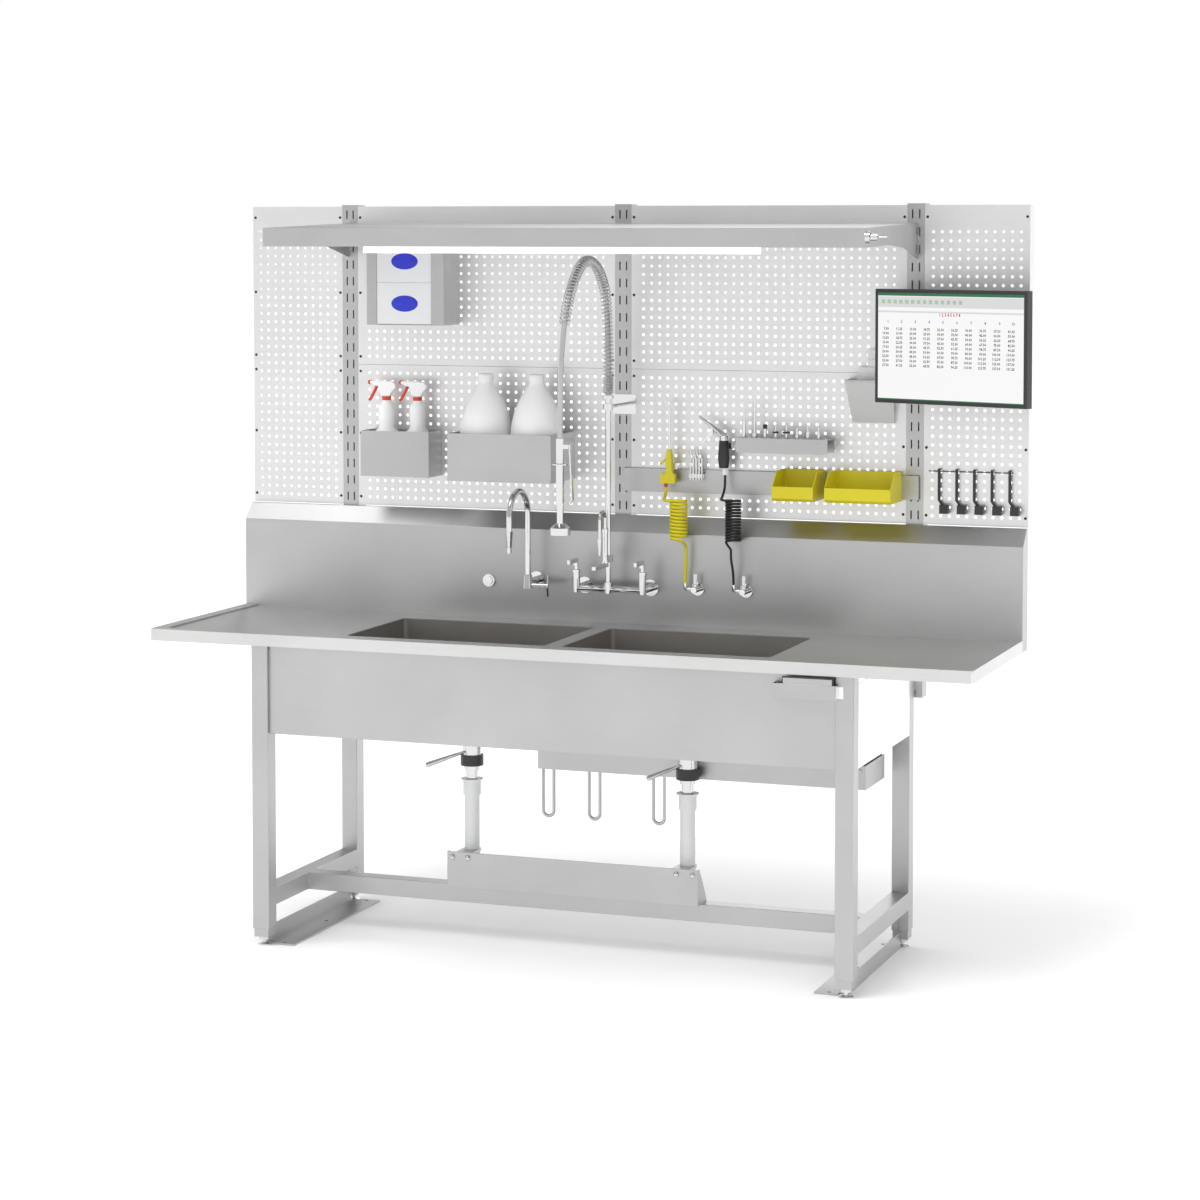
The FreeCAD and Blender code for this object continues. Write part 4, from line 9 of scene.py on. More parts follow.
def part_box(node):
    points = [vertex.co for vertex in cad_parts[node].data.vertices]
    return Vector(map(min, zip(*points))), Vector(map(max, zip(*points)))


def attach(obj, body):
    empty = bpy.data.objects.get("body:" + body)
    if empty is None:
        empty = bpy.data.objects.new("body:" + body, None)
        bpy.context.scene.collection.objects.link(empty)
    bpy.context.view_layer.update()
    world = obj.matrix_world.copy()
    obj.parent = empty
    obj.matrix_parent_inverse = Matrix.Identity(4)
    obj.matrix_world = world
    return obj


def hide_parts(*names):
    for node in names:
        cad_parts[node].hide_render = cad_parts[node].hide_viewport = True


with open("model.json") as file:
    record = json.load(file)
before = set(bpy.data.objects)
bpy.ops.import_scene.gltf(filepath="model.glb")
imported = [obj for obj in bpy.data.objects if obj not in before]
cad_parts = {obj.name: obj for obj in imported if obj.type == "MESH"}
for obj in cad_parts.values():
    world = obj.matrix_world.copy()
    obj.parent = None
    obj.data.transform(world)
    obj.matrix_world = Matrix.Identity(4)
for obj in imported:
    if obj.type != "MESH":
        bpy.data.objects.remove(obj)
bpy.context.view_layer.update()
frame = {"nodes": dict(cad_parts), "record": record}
bodyOf = {node: body for body, nodes in frame["record"]["behaviour"]["bodies"].items() for node in nodes}
slotOf = {row["node"]: row["material_slot"] for row in frame["record"]["subparts"]}
print("frame loaded")


# Shared ways of working

facingFront = Matrix.Rotation(math.pi / 2, 4, "X")  # turns a shape's +Z towards the front, -Y
weld = 1e-5  # two places nearer than this are one
sharp = 40  # edges that turn by more degrees than this are eased
turned = 48  # turned forms are shaded round up to this angle


def linked(name, data):
    item = bpy.data.objects.new(name, data)
    bpy.context.scene.collection.objects.link(item)
    return item


def finished(piece, body, material, node=None):
    piece.data.materials.clear()
    piece.data.materials.append(material)
    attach(piece, body)
    if node:
        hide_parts(node)
    return piece


def pieceFrom(name, bm, smooth=None):
    # smooth is the angle in degrees below which an edge is rounded by shading
    bmesh.ops.recalc_face_normals(bm, faces=bm.faces)
    for face in bm.faces:
        face.smooth = smooth is not None
    if smooth is not None:
        for edge in bm.edges:
            flat = len(edge.link_faces) == 2 and edge.calc_face_angle(0) > math.radians(smooth)
            edge.smooth = not flat
    mesh = bpy.data.meshes.new(name)
    bm.to_mesh(mesh)
    bm.free()
    return linked(name, mesh)


def bevelled(piece, width, segments=2):
    modifier = piece.modifiers.new("eased", "BEVEL")
    modifier.width = width
    modifier.segments = segments
    modifier.limit_method = "ANGLE"
    modifier.angle_limit = math.radians(sharp)
    modifier.harden_normals = False
    return piece


def addBlock(bm, low, high):
    size = [b - a for a, b in zip(low, high)]
    middle = [(a + b) / 2 for a, b in zip(low, high)]
    matrix = Matrix.Translation(middle) @ Matrix.Diagonal((*size, 1))
    bmesh.ops.create_cube(bm, size=1, matrix=matrix)


def addPart(bm, part, place):
    # moves a part made on its own and adds it to bm
    bmesh.ops.transform(part, matrix=place, verts=part.verts)
    mesh = bpy.data.meshes.new("part")
    part.to_mesh(mesh)
    part.free()
    bm.from_mesh(mesh)
    bpy.data.meshes.remove(mesh)


def addLathe(bm, profile, place=Matrix(), steps=32):
    # profile holds (radius, height) pairs along +Z, closed on the axis where the radius is zero
    part = bmesh.new()
    verts = [part.verts.new((radius, 0, height)) for radius, height in profile]
    edges = [part.edges.new(pair) for pair in zip(verts, verts[1:])]
    bmesh.ops.spin(part, geom=verts + edges, cent=(0, 0, 0), axis=(0, 0, 1), angle=math.tau,
                   steps=steps, use_merge=True)
    bmesh.ops.remove_doubles(part, verts=part.verts, dist=weld)
    addPart(bm, part, place)


def addPlate(bm, outline, place, thick):
    # outline holds (x, y) pairs; the plate is thick along the place's +Z
    part = bmesh.new()
    face = part.faces.new([part.verts.new((x, y, 0)) for x, y in outline])
    raised = bmesh.ops.extrude_face_region(part, geom=[face])["geom"]
    lifted = [item for item in raised if isinstance(item, bmesh.types.BMVert)]
    bmesh.ops.translate(part, vec=(0, 0, thick), verts=lifted)
    addPart(bm, part, place)


def dressedCopy(node, material, smooth=35, bevel=None):
    # a merged copy of a CAD node, shaded round, that stands for the node
    bm = bmesh.new()
    bm.from_mesh(frame["nodes"][node].data)
    bmesh.ops.remove_doubles(bm, verts=bm.verts, dist=2 * weld)
    bmesh.ops.dissolve_limit(bm, angle_limit=math.radians(1), verts=bm.verts, edges=bm.edges)
    for face in bm.faces:
        face.smooth = True
    for edge in bm.edges:
        edge.smooth = not (len(edge.link_faces) == 2 and edge.calc_face_angle(0) > math.radians(smooth))
    mesh = bpy.data.meshes.new(node + "_dressed")
    bm.to_mesh(mesh)
    bm.free()
    piece = linked(node + "_dressed", mesh)
    if bevel:
        bevelled(piece, bevel)
    return finished(piece, bodyOf[node], material, node)


def zoned(piece, material, test):
    # gives one more material to the faces whose middles pass the test
    piece.data.materials.append(material)
    number = len(piece.data.materials) - 1
    for face in piece.data.polygons:
        if test(face.center):
            face.material_index = number


# Materials

def newMaterial(name, roughness, metallic=0.0, **sockets):
    # a socket's name is given with an underscore for each space
    material = bpy.data.materials.new(name)
    material.use_nodes = True
    shader = material.node_tree.nodes["Principled BSDF"]
    shader.inputs["Roughness"].default_value = roughness
    shader.inputs["Metallic"].default_value = metallic
    for socket, value in sockets.items():
        shader.inputs[socket.replace("_", " ")].default_value = value
    return material, shader


def surfaceGroup():
    # mixes two tones by a stretched grain and lays fine grain on roughness and height
    group = bpy.data.node_groups.new("surfaceGrain", "ShaderNodeTree")
    sockets = group.interface
    for name, kind in (("Tone", "NodeSocketColor"), ("Second tone", "NodeSocketColor"),
                       ("Stretch", "NodeSocketVector"), ("Roughness", "NodeSocketFloat"),
                       ("Spread", "NodeSocketFloat")):
        sockets.new_socket(name, in_out="INPUT", socket_type=kind)
    for name, kind in (("Color", "NodeSocketColor"), ("Roughness", "NodeSocketFloat"),
                       ("Height", "NodeSocketFloat")):
        sockets.new_socket(name, in_out="OUTPUT", socket_type=kind)
    nodes, links = group.nodes, group.links
    start, end = nodes.new("NodeGroupInput"), nodes.new("NodeGroupOutput")
    place = nodes.new("ShaderNodeTexCoord")
    scaled = nodes.new("ShaderNodeVectorMath")
    scaled.operation = "MULTIPLY"
    links.new(place.outputs["Object"], scaled.inputs[0])
    links.new(start.outputs["Stretch"], scaled.inputs[1])
    streaks, cloud = nodes.new("ShaderNodeTexNoise"), nodes.new("ShaderNodeTexNoise")
    streaks.inputs["Scale"].default_value = 1.0
    streaks.inputs["Detail"].default_value = 6.0
    cloud.inputs["Scale"].default_value = 3.0
    cloud.inputs["Detail"].default_value = 3.0
    links.new(scaled.outputs[0], streaks.inputs["Vector"])
    links.new(place.outputs["Object"], cloud.inputs["Vector"])
    both = nodes.new("ShaderNodeMath")
    both.operation = "MULTIPLY_ADD"
    both.inputs[1].default_value = 0.6
    links.new(streaks.outputs["Fac"], both.inputs[0])
    links.new(cloud.outputs["Fac"], both.inputs[2])
    share = nodes.new("ShaderNodeMapRange")
    share.inputs["From Min"].default_value = 0.55
    share.inputs["From Max"].default_value = 1.05
    links.new(both.outputs[0], share.inputs["Value"])
    mixed = nodes.new("ShaderNodeMix")
    mixed.data_type = "RGBA"
    links.new(share.outputs["Result"], mixed.inputs["Factor"])
    links.new(start.outputs["Tone"], mixed.inputs["A"])
    links.new(start.outputs["Second tone"], mixed.inputs["B"])
    rough = nodes.new("ShaderNodeMath")
    rough.operation = "MULTIPLY_ADD"
    links.new(streaks.outputs["Fac"], rough.inputs[0])
    links.new(start.outputs["Spread"], rough.inputs[1])
    links.new(start.outputs["Roughness"], rough.inputs[2])
    links.new(mixed.outputs["Result"], end.inputs["Color"])
    links.new(rough.outputs[0], end.inputs["Roughness"])
    links.new(streaks.outputs["Fac"], end.inputs["Height"])
    return group


grain = surfaceGroup()


def grained(name, tone, secondTone, stretch, roughness, spread, bump, metallic=0.0):
    material, shader = newMaterial(name, roughness, metallic)
    tree = material.node_tree
    used = tree.nodes.new("ShaderNodeGroup")
    used.node_tree = grain
    used.inputs["Tone"].default_value = (*tone, 1)
    used.inputs["Second tone"].default_value = (*secondTone, 1)
    used.inputs["Stretch"].default_value = stretch
    used.inputs["Roughness"].default_value = roughness - spread / 2
    used.inputs["Spread"].default_value = spread
    tree.links.new(used.outputs["Color"], shader.inputs["Base Color"])
    tree.links.new(used.outputs["Roughness"], shader.inputs["Roughness"])
    raised = tree.nodes.new("ShaderNodeBump")
    raised.inputs["Strength"].default_value = bump
    raised.inputs["Distance"].default_value = 0.0005
    tree.links.new(used.outputs["Height"], raised.inputs["Height"])
    tree.links.new(raised.outputs["Normal"], shader.inputs["Normal"])
    return material


def grainedMetal(name, tone, secondTone, stretch, roughness, spread, bump):
    return grained(name, tone, secondTone, stretch, roughness, spread, bump, metallic=1.0)


def even(scale):
    # grain of the same size every way
    return (scale, scale, scale)


# Each row: name, two tones, stretch of the grain, roughness, its spread, bump
brushed, acrossGrain, pipeGrain = (6, 900, 900), (700, 700, 30), (40, 40, 400)
steel = grainedMetal("brushedSteel", (0.50, 0.50, 0.50), (0.57, 0.57, 0.57), brushed, 0.40, 0.14, 0.12)
# The wall panels' stainless is painted lighter than the other steel: painted light that lifts the shade the
# canopy casts on them.
panelSteelPaintedLight = grainedMetal("panelSteelPaintedLight", (0.77, 0.77, 0.77), (0.84, 0.84, 0.84), brushed, 0.42, 0.14, 0.1)
deckSteel = grainedMetal("deckSteel", (0.64, 0.64, 0.635), (0.72, 0.72, 0.715), brushed, 0.36, 0.14, 0.1)
# The right end panel's stainless is painted much lighter than the other steel: a painted highlight for its lit
# side.
endSteelPaintedLight = grainedMetal("endSteelPaintedLight", (0.88, 0.88, 0.88), (0.94, 0.94, 0.94), brushed, 0.3, 0.1, 0.08)
bowlSteel = grainedMetal("bowlSteel", (0.46, 0.44, 0.42), (0.56, 0.54, 0.515), acrossGrain, 0.42, 0.14, 0.15)
pipeSteel = grainedMetal("pipeSteel", (0.68, 0.68, 0.68), (0.76, 0.76, 0.755), pipeGrain, 0.22, 0.08, 0.04)
chrome = grainedMetal("chrome", (0.62, 0.62, 0.63), (0.70, 0.70, 0.70), even(120), 0.12, 0.06, 0.02)
braid = grained("steelBraid", (0.38, 0.38, 0.39), (0.62, 0.62, 0.62), even(1400), 0.35, 0.15, 0.4,
                metallic=0.8)
whitePlastic = grained("whitePlastic", (0.87, 0.87, 0.87), (0.93, 0.93, 0.93), even(500), 0.42, 0.1, 0.06)
blackPlastic = grained("blackPlastic", (0.018, 0.018, 0.02), (0.03, 0.03, 0.032), even(900), 0.38, 0.16, 0.12)
yellowPlastic = grained("yellowPlastic", (0.67, 0.58, 0.006), (0.74, 0.65, 0.01), even(600), 0.42, 0.12, 0.08)
redPlastic = grained("redPlastic", (0.62, 0.035, 0.02), (0.72, 0.06, 0.03), even(600), 0.35, 0.12, 0.06)
blackRubber = grained("blackRubber", (0.012, 0.012, 0.012), (0.025, 0.025, 0.025), even(1500), 0.5, 0.2, 0.2)
whiteCard = grained("whiteCard", (0.84, 0.85, 0.87), (0.90, 0.91, 0.92), even(900), 0.6, 0.1, 0.08)
blueInk = grained("blueInk", (0.02, 0.03, 0.62), (0.03, 0.04, 0.70), even(900), 0.5, 0.1, 0.05)
paper = grained("paper", (0.84, 0.84, 0.83), (0.90, 0.90, 0.90), even(800), 0.7, 0.1, 0.05)
clearTube = grained("clearTube", (0.70, 0.71, 0.71), (0.80, 0.81, 0.81), (60, 60, 300), 0.3, 0.1, 0.05)
lampGlow, _ = newMaterial("lampGlow", 0.5, Base_Color=(0.95, 0.95, 0.95, 1), Emission_Color=(1, 1, 1, 1),
                          Emission_Strength=0.9)
print("materials made")

looks = {
    "stainless": steel, "chrome": chrome, "white_plastic": whitePlastic, "black_plastic": blackPlastic,
    "yellow_plastic": yellowPlastic, "red_plastic": redPlastic, "rubber": blackRubber, "card": whiteCard,
}
ownLooks = {"left_bowl": bowlSteel, "right_bowl": bowlSteel, "lamp": lampGlow}
for node, item in frame["nodes"].items():
    item.data.materials.clear()
    item.data.materials.append(ownLooks.get(node, looks[slotOf[node]]))


# Camera at the photograph's angle, found from the bench's edges and the wall's hole grid
view = {"place": (2.9683, -7.9547, 2.0651), "yaw": 20.13, "pitch": -2.93, "lens": 89.17, "shiftY": -0.1824,
        "sensor": 36, "farthest": 200}
cameraData = bpy.data.cameras.new("camera")
cameraData.lens = view["lens"]
cameraData.sensor_width = view["sensor"]
cameraData.shift_y = view["shiftY"]
cameraData.clip_end = view["farthest"]
camera = linked("camera", cameraData)
camera.location = view["place"]
camera.rotation_euler = (math.radians(90 + view["pitch"]), 0, math.radians(view["yaw"]))
bpy.context.scene.camera = camera
bpy.context.scene.view_settings.view_transform = "Standard"
print("camera placed")


# Hoses: the same points in millimetres as the CAD routes, each on one smooth line.
# The rinse hose's route holds (y, z) pairs in the plane x.
rinse = {
    "x": 0.005,
    "route": ((200, 1580), (203, 1835), (130, 1950), (5, 1985), (-100, 1915), (-165, 1800),
              (-195, 1655), (-195, 1479)),
    "radius": 0.008, "length": 1.084, "smoothness": 24,
    "coilRadius": 0.0148, "wire": 0.0017, "startGap": 0.0037, "tightPitch": 0.0046, "tightTurns": 11,
    "openTurns": 62, "share": 0.70, "stepsPerTurn": 12,
}
yellowHose = {
    "upper": ((149, 300, 1307), (149, 300, 1296), (150.5, 292, 1285), (156, 266, 1276.5),
              (162.9, 241.1, 1275), (171.3, 229.9, 1274.5), (183.8, 223.5, 1274.5), (197.8, 223.5, 1274.5)),
    "lower": ((229.5, 246, 1131), (229.5, 246, 1100), (226, 250, 1060), (226, 250, 1032)),
    "radius": 0.0046, "coilRadius": 0.0225, "quarters": 45, "stepsPerQuarter": 3,
}
blackHose = {
    "upper": ((332, 300, 1348), (332, 300, 1328), (332.3, 294, 1304), (334.6, 262, 1284),
              (338.6, 239.5, 1281), (345.4, 230.5, 1280), (355.5, 225.5, 1280), (366.8, 225.5, 1280)),
    "lower": ((374, 225.5, 1131), (374, 225.5, 1108), (376.5, 233, 1082), (374.5, 246, 1062),
              (374, 250, 1046), (374, 250, 1032)),
    "radius": 0.0036, "coilRadius": 0.0205, "quarters": 56, "stepsPerQuarter": 3,
}


def smoothLine(name, points, radius, roundness=4):
    curve = bpy.data.curves.new(name, "CURVE")
    curve.dimensions = "3D"
    curve.resolution_u = 4
    curve.bevel_depth = 1.0  # each point's radius gives the thickness
    curve.bevel_resolution = roundness
    curve.use_fill_caps = True
    spline = curve.splines.new("NURBS")
    spline.points.add(len(points) - 1)
    for spot, place in zip(spline.points, points):
        spot.co = (*place, 1)
        spot.radius = radius
    spline.order_u = 3
    spline.use_endpoint_u = True
    return linked(name, curve)


def pointsOn(line):
    # the points that a curve's own line runs through, without its thickness
    depth = line.data.bevel_depth
    line.data.bevel_depth = 0
    bpy.context.view_layer.update()
    mesh = bpy.data.meshes.new_from_object(line)
    points = [vert.co.copy() for vert in mesh.vertices]
    bpy.data.meshes.remove(mesh)
    line.data.bevel_depth = depth
    return points


def lengthOf(points):
    return sum((b - a).length for a, b in zip(points, points[1:]))


def inMetres(points):
    return [Vector(point) / 1000 for point in points]


def coiledLine(sizes):
    upper, lower = inMetres(sizes["upper"]), inMetres(sizes["lower"])
    radius, lead = sizes["coilRadius"], 2 * sizes["radius"]
    stepAngle = math.pi / 2 / sizes["stepsPerQuarter"]
    drawn = radius / math.cos(stepAngle / 2)  # the smooth line runs inside its points
    centre = upper[-1] + Vector((lead, radius, 0))
    drop = upper[-1].z - lower[0].z - lead - radius
    steps = (sizes["quarters"] - 1) * sizes["stepsPerQuarter"]
    turns = []
    for number in range(steps + sizes["stepsPerQuarter"] + 1):
        angle = -math.pi / 2 + stepAngle * number
        height = centre.z - drop * min(number, steps) / steps
        if number > steps:
            height -= radius * (1 - math.cos(stepAngle * (number - steps)))
        turns.append(Vector((centre.x + drawn * math.cos(angle), centre.y + drawn * math.sin(angle), height)))
    return upper + turns + lower


for colour, sizes, material in (("yellow", yellowHose, yellowPlastic), ("black", blackHose, blackRubber)):
    hose = smoothLine(colour + "_rinse_hose", coiledLine(sizes), sizes["radius"])
    finished(hose, "lift", material)
    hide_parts(colour + "_hose", colour + "_coil")
    line = pointsOn(hose)
    print(hose.name, "length", round(lengthOf(line), 4), "starts", [round(v, 4) for v in line[0]])

rinseHose = smoothLine("prerinse_hose_line",
                       [Vector((rinse["x"], y / 1000, z / 1000)) for y, z in rinse["route"]], rinse["radius"])
rinseHose.data.resolution_u = rinse["smoothness"]
finished(rinseHose, "lift", braid, "prerinse_hose")
rinseLine = pointsOn(rinseHose)


def springPoints(sizes, line):
    # turns wound round the hose's line: close ones at its start, then open ones
    total = lengthOf(line)
    last = total * sizes["share"]
    tightEnd = sizes["startGap"] + sizes["tightPitch"] * sizes["tightTurns"]
    turns = sizes["tightTurns"] + sizes["openTurns"]
    points, travelled, index = [], 0.0, 0
    side = Vector((1, 0, 0))
    for number in range(turns * sizes["stepsPerTurn"] + 1):
        turn = number / sizes["stepsPerTurn"]
        if turn <= sizes["tightTurns"]:
            mark = sizes["startGap"] + sizes["tightPitch"] * turn
        else:
            mark = tightEnd + (last - tightEnd) * (turn - sizes["tightTurns"]) / sizes["openTurns"]
        while index < len(line) - 2 and travelled + (line[index + 1] - line[index]).length < mark:
            travelled += (line[index + 1] - line[index]).length
            index += 1
        step = line[index + 1] - line[index]
        way = step.normalized()
        spot = line[index] + way * (mark - travelled)
        across = way.cross(side)
        angle = math.tau * turn
        points.append(spot + (side * math.cos(angle) + across * math.sin(angle)) * sizes["coilRadius"])
    return points


spring = smoothLine("prerinse_spring_wire", springPoints(rinse, rinseLine), rinse["wire"], roundness=2)
finished(spring, "lift", chrome, "prerinse_spring")
print("prerinse hose length", round(lengthOf(rinseLine), 4))
print("hoses laid")


# Wall panels with their round holes, open right through
panels = {"pitch": 0.0254, "hole": 0.0092, "margin": 0.0125, "plainTop": 0.063, "sheet": 0.0019,
          "flange": 0.05, "seam": 1.651, "gap": 0.0004, "bayNear": 0.0257, "wingNear": 0.9147}
wallFace, wallLow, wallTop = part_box("bay_panels")[0].y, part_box("bay_panels")[0].z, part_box("bay_panels")[1].z
bayNear, bayFar = panels["bayNear"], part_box("bay_panels")[1].x
wingNear, wingFar = panels["wingNear"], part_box("wing_panels")[1].x


def perforated(name, x0, x1, z0, z1, node, plainTop):
    pitch = panels["pitch"]
    spare = 1e-4  # lets a whole pitch count in spite of rounding
    across = int((x1 - x0 - 2 * panels["margin"] + spare) / pitch)
    up = int((z1 - z0 - panels["margin"] - plainTop + spare) / pitch)
    left = (x0 + x1) / 2 - across * pitch / 2
    low = z0 + panels["margin"]
    bm = bmesh.new()
    place = (Matrix.Translation((left + across * pitch / 2, wallFace, low + up * pitch / 2))
             @ facingFront @ Matrix.Diagonal((across * pitch, up * pitch, 1, 1)))
    bmesh.ops.create_grid(bm, x_segments=across, y_segments=up, size=0.5, matrix=place)
    cells = list(bm.faces)
    bmesh.ops.inset_individual(bm, faces=cells, thickness=(pitch - panels["hole"]) / 2,
                               use_even_offset=True)
    corners = dict.fromkeys(vert for cell in cells for vert in cell.verts)
    cut = panels["hole"] * (1 - math.sqrt(0.5))
    bmesh.ops.bevel(bm, geom=list(corners), offset=cut, offset_type="OFFSET", segments=1, profile=0.5,
                    affect="VERTICES", material=-1)
    holes = [item for item in bm.faces if len(item.verts) == 8]  # the inset squares with their corners cut
    bmesh.ops.delete(bm, geom=holes, context="FACES")
    right, high = left + across * pitch, low + up * pitch
    rim = [edge for edge in bm.edges if edge.is_boundary and all(
        min(abs(v.co.x - left), abs(v.co.x - right), abs(v.co.z - low), abs(v.co.z - high)) < weld
        for v in edge.verts)]
    moved = bmesh.ops.extrude_edge_only(bm, edges=rim)["geom"]
    for vert in [item for item in moved if isinstance(item, bmesh.types.BMVert)]:
        x, z = vert.co.x, vert.co.z
        vert.co.x = x0 if abs(x - left) < weld else x1 if abs(x - right) < weld else x
        vert.co.z = z0 if abs(z - low) < weld else z1 if abs(z - high) < weld else z
    outer = [item for item in moved if isinstance(item, bmesh.types.BMEdge)]
    folded = bmesh.ops.extrude_edge_only(bm, edges=outer)["geom"]
    back = [item for item in folded if isinstance(item, bmesh.types.BMVert)]
    bmesh.ops.translate(bm, vec=(0, panels["flange"], 0), verts=back)
    piece = pieceFrom(name, bm)
    # the sheet's front has to face -Y, because the thickness grows behind it
    middle = max(piece.data.polygons, key=lambda side: side.area if abs(side.normal.y) > 0.9 else 0)
    if middle.normal.y > 0:
        piece.data.flip_normals()
    thick = piece.modifiers.new("sheet", "SOLIDIFY")
    thick.thickness = panels["sheet"]
    thick.offset = -1
    # the panels take the lighter steel, painted light standing in for the canopy's shade being lifted
    return finished(piece, "lift", panelSteelPaintedLight, node)


for side, sign in (("left", -1), ("right", 1)):
    bay = sorted((bayNear * sign, bayFar * sign))
    wing = sorted((wingNear * sign, wingFar * sign))
    seamLow, seamHigh = panels["seam"] - panels["gap"], panels["seam"] + panels["gap"]
    perforated(side + "_lower_bay_sheet", *bay, wallLow, seamLow, "bay_panels", panels["margin"])
    perforated(side + "_upper_bay_sheet", *bay, seamHigh, wallTop, "bay_panels", panels["plainTop"])
    perforated(side + "_wing_sheet", *wing, wallLow, wallTop, "wing_panels", panels["plainTop"])
print("wall panels perforated")


# Jugs: blown bodies with a neck and a cap; the side holds shares of the radius and of the height
jug = {"radius": 0.0805, "height": 0.312, "capRadius": 0.024, "capHeight": 0.020, "capEdge": 0.002}
jugSide = ((0.0, 0.004), (0.70, 0.0), (0.93, 0.003), (1.0, 0.022), (1.0, 0.30), (0.985, 0.42), (0.93, 0.53),
           (0.83, 0.64), (0.66, 0.75), (0.46, 0.84), (0.31, 0.90), (0.27, 0.925), (0.27, 0.94))


def addJug(name, node):
    low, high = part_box(node)
    place = Matrix.Translation(((low.x + high.x) / 2, (low.y + high.y) / 2, low.z))
    bm = bmesh.new()
    profile = [(jug["radius"] * wide, jug["height"] * tall) for wide, tall in jugSide]
    wide, top, edge = jug["capRadius"], jug["height"], jug["capEdge"]
    profile += [(wide, top - jug["capHeight"]), (wide, top - edge), (wide - edge, top), (0.0, top)]
    addLathe(bm, profile, place, steps=40)
    piece = pieceFrom(name, bm, smooth=50)
    return finished(piece, bodyOf[node], whitePlastic, node)


for side in ("left", "right"):
    addJug(side + "_jug_shell", side + "_jug")
print("jugs made")


# Spray bottles: ribbed waist, collar and a shrouded head; the trigger hangs on the head
bottle = {"radius": 0.040, "neck": 0.011, "neckTop": 0.226, "collar": 0.013, "collarTop": 0.239,
          "ringLow": 0.2265, "nozzleReach": 0.060, "nozzleHeight": 0.2805}
bottleSide = ((0.0, 0.003), (0.70, 0.0), (0.93, 0.002), (1.0, 0.012), (1.0, 0.11), (0.97, 0.122),
              (0.86, 0.133), (0.62, 0.142), (0.585, 0.150), (0.62, 0.158), (0.585, 0.166), (0.62, 0.174),
              (0.585, 0.182), (0.62, 0.190), (0.585, 0.198), (0.60, 0.206), (0.52, 0.214), (0.30, 0.224),
              (0.275, 0.228))
nozzleSide = ((0.0, 0.0), (0.0055, 0.0), (0.0068, 0.002), (0.0068, 0.0095), (0.0, 0.0095))
ringSide = ((0.0136, 0.0), (0.0141, 0.002), (0.0141, 0.010), (0.0136, 0.012))
head = {"wide": 0.018, "bevel": 0.003}
blade = {"wide": 0.012, "bevel": 0.0015}
headOutline = ((-0.052, 0.0365), (-0.044, 0.0355), (-0.038, 0.031), (-0.026, 0.030), (-0.021, 0.012),
               (-0.013, 0.0), (0.013, 0.0), (0.019, 0.012), (0.033, 0.026), (0.031, 0.036), (0.022, 0.044),
               (-0.010, 0.046), (-0.052, 0.046))
triggerOutline = ((0.0, 0.0), (0.0, -0.004), (-0.005, -0.014), (-0.012, -0.026), (-0.021, -0.041),
                  (-0.025, -0.046), (-0.030, -0.042), (-0.022, -0.030), (-0.014, -0.016), (-0.009, -0.006),
                  (-0.008, 0.0))


def addBottle(side):
    node = side + "_spray_bottle"
    low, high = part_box(node)
    x, y = high.x - bottle["radius"], (low.y + high.y) / 2
    bm = bmesh.new()
    profile = [(bottle["radius"] * wide, tall) for wide, tall in bottleSide]
    profile += [(bottle["neck"], bottle["neckTop"]), (bottle["collar"], bottle["neckTop"]),
                (bottle["collar"], bottle["collarTop"]), (0.0, bottle["collarTop"])]
    addLathe(bm, profile, Matrix.Translation((x, y, low.z)))
    finished(pieceFrom(side + "_bottle_shell", bm, smooth=60), node, whitePlastic, node)

    bm = bmesh.new()
    crown = Matrix.Translation((x, y + head["wide"] / 2, low.z + bottle["collarTop"])) @ facingFront
    addPlate(bm, headOutline, crown, head["wide"])
    shroud = bevelled(pieceFrom(side + "_spray_shroud", bm), head["bevel"], 3)
    finished(shroud, node, whitePlastic)

    bm = bmesh.new()
    mouth = (x - bottle["nozzleReach"], y, low.z + bottle["nozzleHeight"])
    addLathe(bm, nozzleSide, Matrix.Translation(mouth) @ Matrix.Rotation(math.pi / 2, 4, "Y"), steps=20)
    addLathe(bm, ringSide, Matrix.Translation((x, y, low.z + bottle["ringLow"])))
    finished(pieceFrom(side + "_spray_nozzle", bm, smooth=40), node, redPlastic)

    lever = side + "_spray_trigger"
    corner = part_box(lever)[1]
    bm = bmesh.new()
    pivot = Matrix.Translation((corner.x, y + blade["wide"] / 2, corner.z)) @ facingFront
    addPlate(bm, triggerOutline, pivot, blade["wide"])
    pull = bevelled(pieceFrom(side + "_trigger_blade", bm), blade["bevel"])
    finished(pull, lever, redPlastic, lever)


for side in ("left", "right"):
    addBottle(side)
print("spray bottles made")


# Glove boxes: card boxes with an oval of blue film over each opening
gloveBox = {"oval": (0.0435, 0.0245), "x": -0.660, "heights": (1.841, 1.968), "film": 0.0012, "off": 0.0004,
           "edge": 0.0015}
film = gloveBox["film"]
filmSide = ((0.0, 0.0), (1.0, 0.0), (1.0, film / 2), (0.97, film), (0.0, film))
bm = bmesh.new()
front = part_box("glove_boxes")[0].y
for height in gloveBox["heights"]:
    middle = Matrix.Translation((gloveBox["x"], front + gloveBox["off"], height))
    addLathe(bm, filmSide, middle @ facingFront @ Matrix.Diagonal((*gloveBox["oval"], 1, 1)), steps=48)
finished(pieceFrom("glove_box_films", bm, smooth=30), "lift", blueInk)
dressedCopy("glove_boxes", whiteCard, bevel=gloveBox["edge"])
print("glove boxes made")


# Monitor: the glowing screen lies in its bezel with a plain table of numbers
monitor = {"centre": (1.055, 0.100, 1.737), "turn": -20.9, "front": 0.014, "width": 0.505, "height": 0.320,
           "bezel": 0.0105, "lift": 0.0006, "glow": 0.95}
